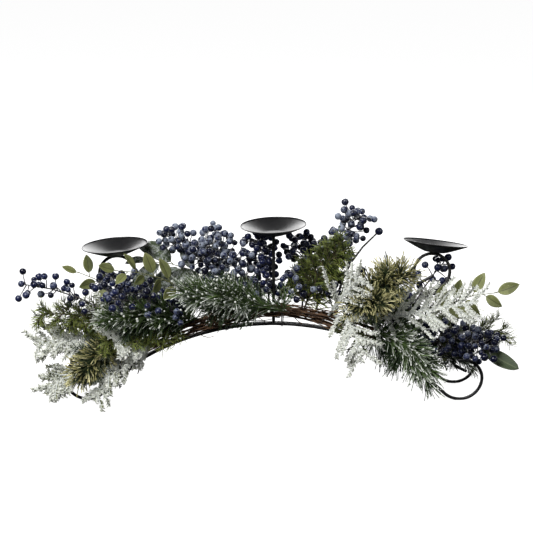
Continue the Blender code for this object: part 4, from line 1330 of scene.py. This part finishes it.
# runs a tree on a spray's lines and keeps the result as a plain mesh
def runTree(spray, number, lines, tree, values):
    piece = lines.makeObject(spray.name)
    values = dict(values, Frost=spray.frost, Seed=10 * number, Finish=finishes[spray.kind])
    grow = piece.modifiers.new("Grow", "NODES")
    grow.node_group = tree
    for item in tree.interface.items_tree:
        if item.in_out == "INPUT" and item.name in values:
            grow[item.identifier] = values[item.name]
    graph = bpy.context.evaluated_depsgraph_get()
    ready = piece.evaluated_get(graph)
    grown = bpy.data.meshes.new_from_object(ready, preserve_all_data_layers=True, depsgraph=graph)
    piece.modifiers.remove(grow)
    spare = piece.data
    piece.data = grown
    bpy.data.meshes.remove(spare)
    corners = np.empty(len(grown.vertices) * 3, dtype=np.float32)
    grown.vertices.foreach_get("co", corners)
    corners[2::3] = np.maximum(corners[2::3], fit["floor"])
    grown.vertices.foreach_set("co", corners)
    grown.update()
    settle(piece, spray.name, kinds[spray.kind].slot)


# how each kind is needled: lengths in metres, lean, spread and spin in degrees
needles = {
    "snowy_fir": {
        "spacing": 0.00062, "length": 0.0062, "root": 0.00110, "tip": 0.00084, "lean": 50.0, "spread": 6.0,
        "spin": 62.0, "curve": -0.06, "steps": 2, "bare": 0.08, "offshoots": 0, "between": 0.9, "stretch": 1.20,
        "sweep": 0.15, "twig": 0.0014, "twigFinish": "flockedTwig", "clot": 0.0010, "clotShare": 0.05,
    },
    "green_fir": {
        "spacing": 0.00095, "length": 0.0150, "root": 0.00068, "tip": 0.00030, "lean": 40.0, "spread": 10.0,
        "spin": 90.0, "curve": -0.08, "steps": 2, "bare": 0.02, "offshoots": 1, "between": 1.6, "stretch": 1.15,
        "sweep": 0.0, "twig": 0.0010, "twigFinish": "twig", "clot": 0.0011, "clotShare": 0.004,
    },
    "snow_pine": {
        "spacing": 0.00058, "length": 0.039, "root": 0.00056, "tip": 0.00072, "lean": 28.0, "spread": 14.0,
        "spin": 180.0, "curve": -0.08, "steps": 3, "bare": 0.05, "tuftShare": 0.50, "tuftSize": 0.80,
        "between": 0.6, "twigFinish": "twig", "clot": 0.0021, "clotShare": 0.15,
    },
    "golden_pine": {
        "spacing": 0.00076, "length": 0.033, "root": 0.00058, "tip": 0.00092, "lean": 33.0, "spread": 14.0,
        "spin": 180.0, "curve": -0.12, "steps": 3, "bare": 0.12, "tuftShare": 0.46, "tuftSize": 0.86,
        "between": 0.7, "twigFinish": "twig", "clot": 0.0010, "clotShare": 0.0,
    },
}
# what sets a spray apart from its kind: extra twigs or berries for each of its own, and shares of a size
ownLook = {
    "left_end_snowy_fir": {"twigs": 4.0, "twigLength": 1.12},
    "left_low_snowy_fir": {"twigs": 5.0, "twigLength": 1.05},
    "left_rear_snowy_fir": {"twigs": 2.0},
    "left_small_snowy_fir": {"twigs": 1.4, "twigLength": 1.4},
    "left_front_snowy_fir": {"twigs": 2.0, "twigLength": 0.95},
    "hanging_snowy_fir": {"twigs": 0.6, "twigLength": 1.12, "needle": 0.90},
    "right_snowy_fir": {"twigs": 1.4, "twigLength": 1.35, "needle": 0.74},
    "centre_snowy_fir": {"twigs": 0.5, "twigLength": 1.20, "needle": 0.74},
    "rear_centre_snowy_fir": {"needle": 0.9},
    "centre_snow_pine": {"twigs": 1.0, "lean": 0.85, "underlayFrom": 0.30},
    "left_snow_pine": {"needle": 0.95, "lean": 0.78},
    "right_snow_pine": {"needle": 1.05, "lean": 0.60},
    "right_low_snow_pine": {"twigs": 0.0, "needle": 0.55},
    "right_golden_pine": {"twigs": 1.4, "twigLength": 1.20, "needle": 1.12},
    "right_low_golden_pine": {"needle": 0.82},
    "left_tip_berry_spray": {"berries": 2},
    "left_berry_spray": {"berries": 6},
    "left_low_berry_spray": {"berries": 5},
    "upper_left_berry_spray": {"berryReach": 1.15},
    "centre_berry_spray": {"berryReach": 1.25},
    "upper_right_berry_spray": {"berries": 14, "berryReach": 1.05},
    "curved_berry_twig": {"berries": 0, "stem": 1.5},
    "right_rear_berry_spray": {"berries": 2},
    "rear_right_berry_spray": {"berryReach": 1.4},
    "right_tip_leaf_sprig": {"leaf": 1.35},
    "left_laurel_sprig": {"leaf": 1.20, "droop": 0.30},
}
twigLook = {
    "spinePoints": 16, "spineShare": 1.5, "fingerShare": 1.15, "pineSpine": 0.0013, "pineTwig": 0.0007, "bow": 0.05,
    "sizes": (0.80, 1.0, 1.0, 0.95, 0.85), "offshootSizes": (0.70, 0.95, 0.95, 0.90, 0.80),
}
twigWays = (0.0, 0.25, 0.5, 0.75, 1.0)
# room that the dressed twigs keep: height over the table, and distance to the stand beyond their root
keep = {"height": 0.005, "sideHeight": 0.006, "stand": 0.003, "root": 0.25}
# shorter twigs between the solid's own, down to the seat, where they stand out further
filling = {
    "lastWay": 0.96, "seatWay": 0.35, "seatAngle": 30.0, "wander": 8.0, "length": (0.60, 1.0), "taper": (1.10, 0.45),
    "lift": {"fir": (-0.15, 0.40), "pine": (-2.0, 2.0)}, "shares": {"fir": (1.0, 0.75, 0.5), "pine": (1.0,)},
}
offshoot = {
    "way": (0.22, 0.62), "angle": 36.0, "wander": 6.0, "lift": (-0.2, 0.35), "share": 0.60, "length": (0.75, 1.1),
    "taper": (1.15, 0.5),
}
# bare green twigs behind the snowy ones, on the side away from the light, left without snow and painted dark as
# shade, so that the gaps between the snowy twigs show painted shade
underlay = {
    "count": 12, "length": 0.028, "twig": 0.0005, "size": 0.75, "from": 0.06, "to": 0.80, "ahead": (0.2, 0.9),
    "aside": (0.4, 1.0), "behind": (0.2, 0.6), "stretch": (0.7, 1.1),
}
berryLook = {
    "segments": 16, "rings": 11, "swell": 1.10, "extra": 11, "tries": 22, "firstWay": 0.14, "bow": 0.08,
    "stemRadius": 0.0011, "spineRadius": 0.0018, "near": 0.006, "far": 0.030, "onward": (0.0, 0.8),
    "size": (0.82, 1.08),
}


def lookOf(spray, key, usual=1.0):
    return ownLook.get(spray.name, {}).get(key, usual)


def bowed(start, end, dice, amount):
    run = end - start
    spin = Matrix.Rotation(dice.uniform(0, fullTurn), 3, run.normalized())
    bow = (spin @ run.orthogonal().normalized()) * run.length * amount
    return [start.lerp(end, t) + bow * 4 * t * (1 - t) for t in twigWays]


def spineLine(spine, count):
    return [alongSpine(spine, way)[0] for way in np.linspace(0.0, 1.0, count)]


def canGrow(root, tip, height):
    return tip.z > height and space.isClearOfStand(root, tip, keep["stand"])


def fillFingers(spray, kind, look, spine, dice):
    extra = []
    count = round(spray.count * lookOf(spray, "twigs", look["between"]))
    for index in range(count):
        way = look["bare"] + (filling["lastWay"] - look["bare"]) * (index + dice.uniform(0.1, 0.9)) / count
        start, ahead, side, face = standAt(spray, spine, way)
        out = filling["seatAngle"] * max(0.0, filling["seatWay"] - way) / filling["seatWay"]
        angle = math.radians(kind.angle + out + dice.uniform(-filling["wander"], filling["wander"]))
        hand = -1 if index % 2 else 1
        lift = dice.uniform(*filling["lift"][kind.form])
        aim = swung(ahead, side * hand + face * lift, angle).normalized()
        most, less = filling["taper"]
        reach = aim * kind.length * lookOf(spray, "twigLength")
        reach = reach * dice.uniform(*filling["length"]) * (most - less * way)
        for share in filling["shares"][kind.form]:
            end = start + reach * share
            if canGrow(start.lerp(end, keep["root"]), end, keep["height"]):
                extra.append((start, end))
                break
    return extra


def addUnderlay(lines, spray, spine, dice):
    first = lookOf(spray, "underlayFrom", underlay["from"])
    for index in range(underlay["count"]):
        way = first + (underlay["to"] - first) * (index + dice.random()) / underlay["count"]
        start, ahead, side, face = standAt(spray, spine, way)
        hand = -1 if index % 2 else 1
        aim = ahead * dice.uniform(*underlay["ahead"]) + side * hand * dice.uniform(*underlay["aside"])
        aim = aim - face * dice.uniform(*underlay["behind"])
        end = start + aim.normalized() * underlay["length"] * dice.uniform(*underlay["stretch"])
        if canGrow(start.lerp(end, keep["root"]), end, keep["sideHeight"]):
            path = bowed(start, end, dice, twigLook["bow"])
            # snow 0: no snow, and a darker green painted as shade
            lines.addLine(path, underlay["twig"], [underlay["size"]] * len(path), 0.0)


# the solid's twig, longer and swept towards the spray's tip where there is room
def stretched(spray, look, onward, start, end):
    stretch = look["stretch"] * lookOf(spray, "twigLength")
    run = end - start
    aim = (run.normalized() + onward * look["sweep"]).normalized()
    for share in (stretch, 1 + (stretch - 1) * 0.5):
        tip = start + aim * run.length * share
        if canGrow(start.lerp(tip, keep["root"]), tip, keep["height"]):
            return start, tip
    return start, end


def addOffshoots(lines, look, path, dice):
    run = path[-1] - path[0]
    ahead = run.normalized()
    side = ahead.cross(lines.face).normalized()
    most, less = offshoot["taper"]
    for index in range(look["offshoots"]):
        hand = 1 if index % 2 else -1
        way = offshoot["way"][0] + offshoot["way"][1] * (index + dice.uniform(0.0, 0.5)) / look["offshoots"]
        angle = math.radians(offshoot["angle"] + dice.uniform(-offshoot["wander"], offshoot["wander"]))
        aim = swung(ahead, side * hand + lines.face * dice.uniform(*offshoot["lift"]), angle).normalized()
        root = alongSpine(path, way)[0]
        length = run.length * offshoot["share"] * dice.uniform(*offshoot["length"]) * (most - less * way)
        tip = root + aim * length
        if canGrow(root, tip, keep["sideHeight"]):
            lines.addLine(bowed(root, tip, dice, twigLook["bow"]), look["twig"], twigLook["offshootSizes"])


def addFirLines(lines, spray, kind, look, spine, fingers, dice):
    onward = (spine[-1] - spine[0]).normalized()
    grown = [stretched(spray, look, onward, start, end) for start, end in fingers]
    for start, end in grown + fillFingers(spray, kind, look, spine, dice):
        path = bowed(start, end, dice, twigLook["bow"])
        lines.addLine(path, look["twig"] * twigLook["fingerShare"], twigLook["sizes"])
        addOffshoots(lines, look, path, dice)


def addPineLines(lines, spray, kind, look, spine, fingers, dice):
    for start, end in fingers + fillFingers(spray, kind, look, spine, dice):
        path = bowed(start, start.lerp(end, look["tuftShare"]), dice, twigLook["bow"])
        lines.addLine(path, twigLook["pineTwig"], [look["tuftSize"]] * len(path))


def dressNeedles(spray, spine, fingers, tree, number):
    kind, look = kinds[spray.kind], needles[spray.kind]
    lines = Lines(sprayFaces(spray, (spine[-1] - spine[0]).normalized())[1])
    dice = random.Random(seeds["needles"] + number)
    count = twigLook["spinePoints"]
    thick = look["twig"] * twigLook["spineShare"] if kind.form == "fir" else twigLook["pineSpine"]
    lines.addLine(spineLine(spine, count), thick, [float(way > look["bare"]) for way in np.linspace(0.0, 1.0, count)])
    addTwigs = addFirLines if kind.form == "fir" else addPineLines
    addTwigs(lines, spray, kind, look, spine, fingers, dice)
    addUnderlay(lines, spray, spine, dice)
    runTree(spray, number, lines, tree, {
        "Spacing": look["spacing"], "Length": look["length"] * lookOf(spray, "needle"), "Root radius": look["root"],
        "Tip radius": look["tip"], "Lean": math.radians(look["lean"] * lookOf(spray, "lean")),
        "Lean spread": math.radians(look["spread"]), "Spin spread": math.radians(look["spin"]),
        "Curve": look["curve"], "Steps": look["steps"], "Clot radius": look["clot"],
        "Clot share": look["clotShare"], "Twig finish": finishes[look["twigFinish"]],
    })


def dressBerries(spray, spine, berries, tree, number):
    lines = Lines(front)
    dice = random.Random(seeds["berries"] + number)
    count = twigLook["spinePoints"]
    lines.addLine(spineLine(spine, count), berryLook["spineRadius"] * lookOf(spray, "stem"), [0.0] * count)
    held = [(start, middle, radius * berryLook["swell"]) for start, middle, radius in berries]
    far = berryLook["far"] * lookOf(spray, "berryReach")
    for _ in range(spray.count * lookOf(spray, "berries", berryLook["extra"])):
        for _ in range(berryLook["tries"]):
            start, ahead, side, face = standAt(spray, spine, dice.uniform(berryLook["firstWay"], 1.0))
            out = swung(side, face, dice.uniform(0, fullTurn)) + ahead * dice.uniform(*berryLook["onward"])
            spot = start + out.normalized() * dice.uniform(berryLook["near"], far)
            radius = kinds["berry"].width * dice.uniform(*berryLook["size"])
            if berryFits(spray.name, start, spot, radius, False):
                space.take(spray.name, spot, spot, radius, True)
                held.append((start, spot, radius))
                break
    for start, middle, radius in held:
        lines.addPoint(middle, (middle - start).normalized(), 0.0, 0.0, radius)
        path = bowed(start, middle, dice, berryLook["bow"])
        lines.addLine(path, berryLook["stemRadius"], [0.0] * len(path))
    runTree(spray, number, lines, tree, {
        "Segments": berryLook["segments"], "Rings": berryLook["rings"], "Twig finish": finishes["berryStem"],
    })
    return len(held)


# leaf blades: rows along the midrib, folded a little along it and curled at the tip
leafLook = {
    "rows": 12, "columns": 8, "swell": 1.15, "size": (0.86, 1.06), "roll": 0.55, "curl": 0.14, "curls": (-1.0, 1.6),
    "fold": 0.24, "folds": (0.6, 1.5), "foldPower": 1.3, "twist": 0.25, "wave": 0.04, "thickness": 0.00045,
    "edge": 0.012, "oval_leaf": (0.85, 0.80), "laurel": (0.92, 0.58), "stalkSides": 6,
    "stalkRadii": (0.0008, 0.0007, 0.0006), "stemPoints": 24, "stemSides": 7, "stemRadius": 0.0011,
    "stemTaper": 0.0005,
}


def addBlade(shape, start, aim, side, length, halfWidth, shaping, droop, dice):
    lift = side.cross(aim).normalized()
    if lift.z < 0:
        lift = -lift
    curl = leafLook["curl"] * dice.uniform(*leafLook["curls"])
    fold = leafLook["fold"] * dice.uniform(*leafLook["folds"])
    twist = dice.uniform(-leafLook["twist"], leafLook["twist"])
    sheets = []
    for layer in (0.5, -0.5):
        rows = []
        for row in range(leafLook["rows"] + 1):
            way = row / leafLook["rows"]
            wide = halfWidth * (math.sin(math.pi * way ** shaping[0]) ** shaping[1] + leafLook["edge"])
            middle = start + aim * (leafStalk + length * way) + (lift * curl - up * droop) * length * way * way
            turn = Matrix.Rotation(twist * way, 3, aim)
            line = []
            for column in range(leafLook["columns"] + 1):
                over = 2 * column / leafLook["columns"] - 1
                wave = leafLook["wave"] * math.sin(9 * way + 2.0 * over) * abs(over)
                rise = fold * abs(over) ** leafLook["foldPower"] + wave
                flat = turn @ (side * over * wide + lift * wide * rise)
                spot = middle + flat + lift * leafLook["thickness"] * layer
                line.append(shape.addPoint(spot, (way, column / leafLook["columns"])))
            rows.append(line)
        sheets.append(rows)
    for (near, far), (nearUnder, farUnder) in zip(*[zip(rows, rows[1:]) for rows in sheets]):
        for column in range(leafLook["columns"]):
            after = column + 1
            shape.addFace((near[column], near[after], far[after], far[column]))
            shape.addFace((nearUnder[column], farUnder[column], farUnder[after], nearUnder[after]))
        shape.addFace((near[0], far[0], farUnder[0], nearUnder[0]))
        shape.addFace((near[-1], nearUnder[-1], farUnder[-1], far[-1]))
    upper, lower = sheets
    for column in range(leafLook["columns"]):
        after = column + 1
        shape.addFace((upper[0][column], lower[0][column], lower[0][after], upper[0][after]))
        shape.addFace((upper[-1][column], upper[-1][after], lower[-1][after], lower[-1][column]))
    stalk = [start, start + aim * leafStalk * 0.5, start + aim * (leafStalk + length * 0.04)]
    shape.addTube(stalk, leafLook["stalkRadii"], leafLook["stalkSides"], 1, False)


def dressLeaves(spray, spine, leaves, number):
    shape = Shape()
    dice = random.Random(seeds["leaves"] + number)
    count = leafLook["stemPoints"]
    radii = [leafLook["stemRadius"] - leafLook["stemTaper"] * index / (count - 1) for index in range(count)]
    shape.addTube(spineLine(spine, count), radii, leafLook["stemSides"], 1)
    for start, aim, side, length, halfWidth in leaves:
        grown = lookOf(spray, "leaf", leafLook["swell"]) * dice.uniform(*leafLook["size"])
        rolled = Matrix.Rotation(dice.uniform(-leafLook["roll"], leafLook["roll"]), 3, aim) @ side
        size = (length * grown, halfWidth * grown, leafLook[spray.kind])
        addBlade(shape, start, aim, rolled, *size, lookOf(spray, "droop", 0.0), dice)
    piece = shape.makeObject(spray.name, spray.kind, "leafStem")
    shades = piece.data.attributes.new("frost", "FLOAT", "POINT")
    shades.data.foreach_set("value", [spray.frost] * len(piece.data.vertices))
    tidy = bmesh.new()
    tidy.from_mesh(piece.data)
    bmesh.ops.recalc_face_normals(tidy, faces=tidy.faces)
    tidy.to_mesh(piece.data)
    tidy.free()
    settle(piece, spray.name, kinds[spray.kind].slot)


def makeSprays():
    spines = [planSpine(spray) for spray in sprays]
    growth = []
    for number, (spray, spine) in enumerate(zip(sprays, spines)):
        kind = kinds[spray.kind]
        if kind.form == "fir":
            sleeveStem(spray, kind, spine)
        growth.append(growers[kind.form](spray, kind, spine, random.Random(seeds["growth"] + number)))
    print("growth planned:", sum(len(items) for items in growth), "twigs, berries and leaves")
    needleTree = makeNeedleTree()
    berryTree = makeBerryTree()
    berryCount = 0
    for number, (spray, spine, grown) in enumerate(zip(sprays, spines, growth)):
        form = kinds[spray.kind].form
        if form == "berry":
            berryCount += dressBerries(spray, spine, grown, berryTree, number)
        elif form == "leaf":
            dressLeaves(spray, spine, grown, number)
        else:
            dressNeedles(spray, spine, grown, needleTree, number)
    print("sprays dressed:", len(sprays), "with", berryCount, "berries")


makeStage()
makeStand()
makeVine()
makeSprays()
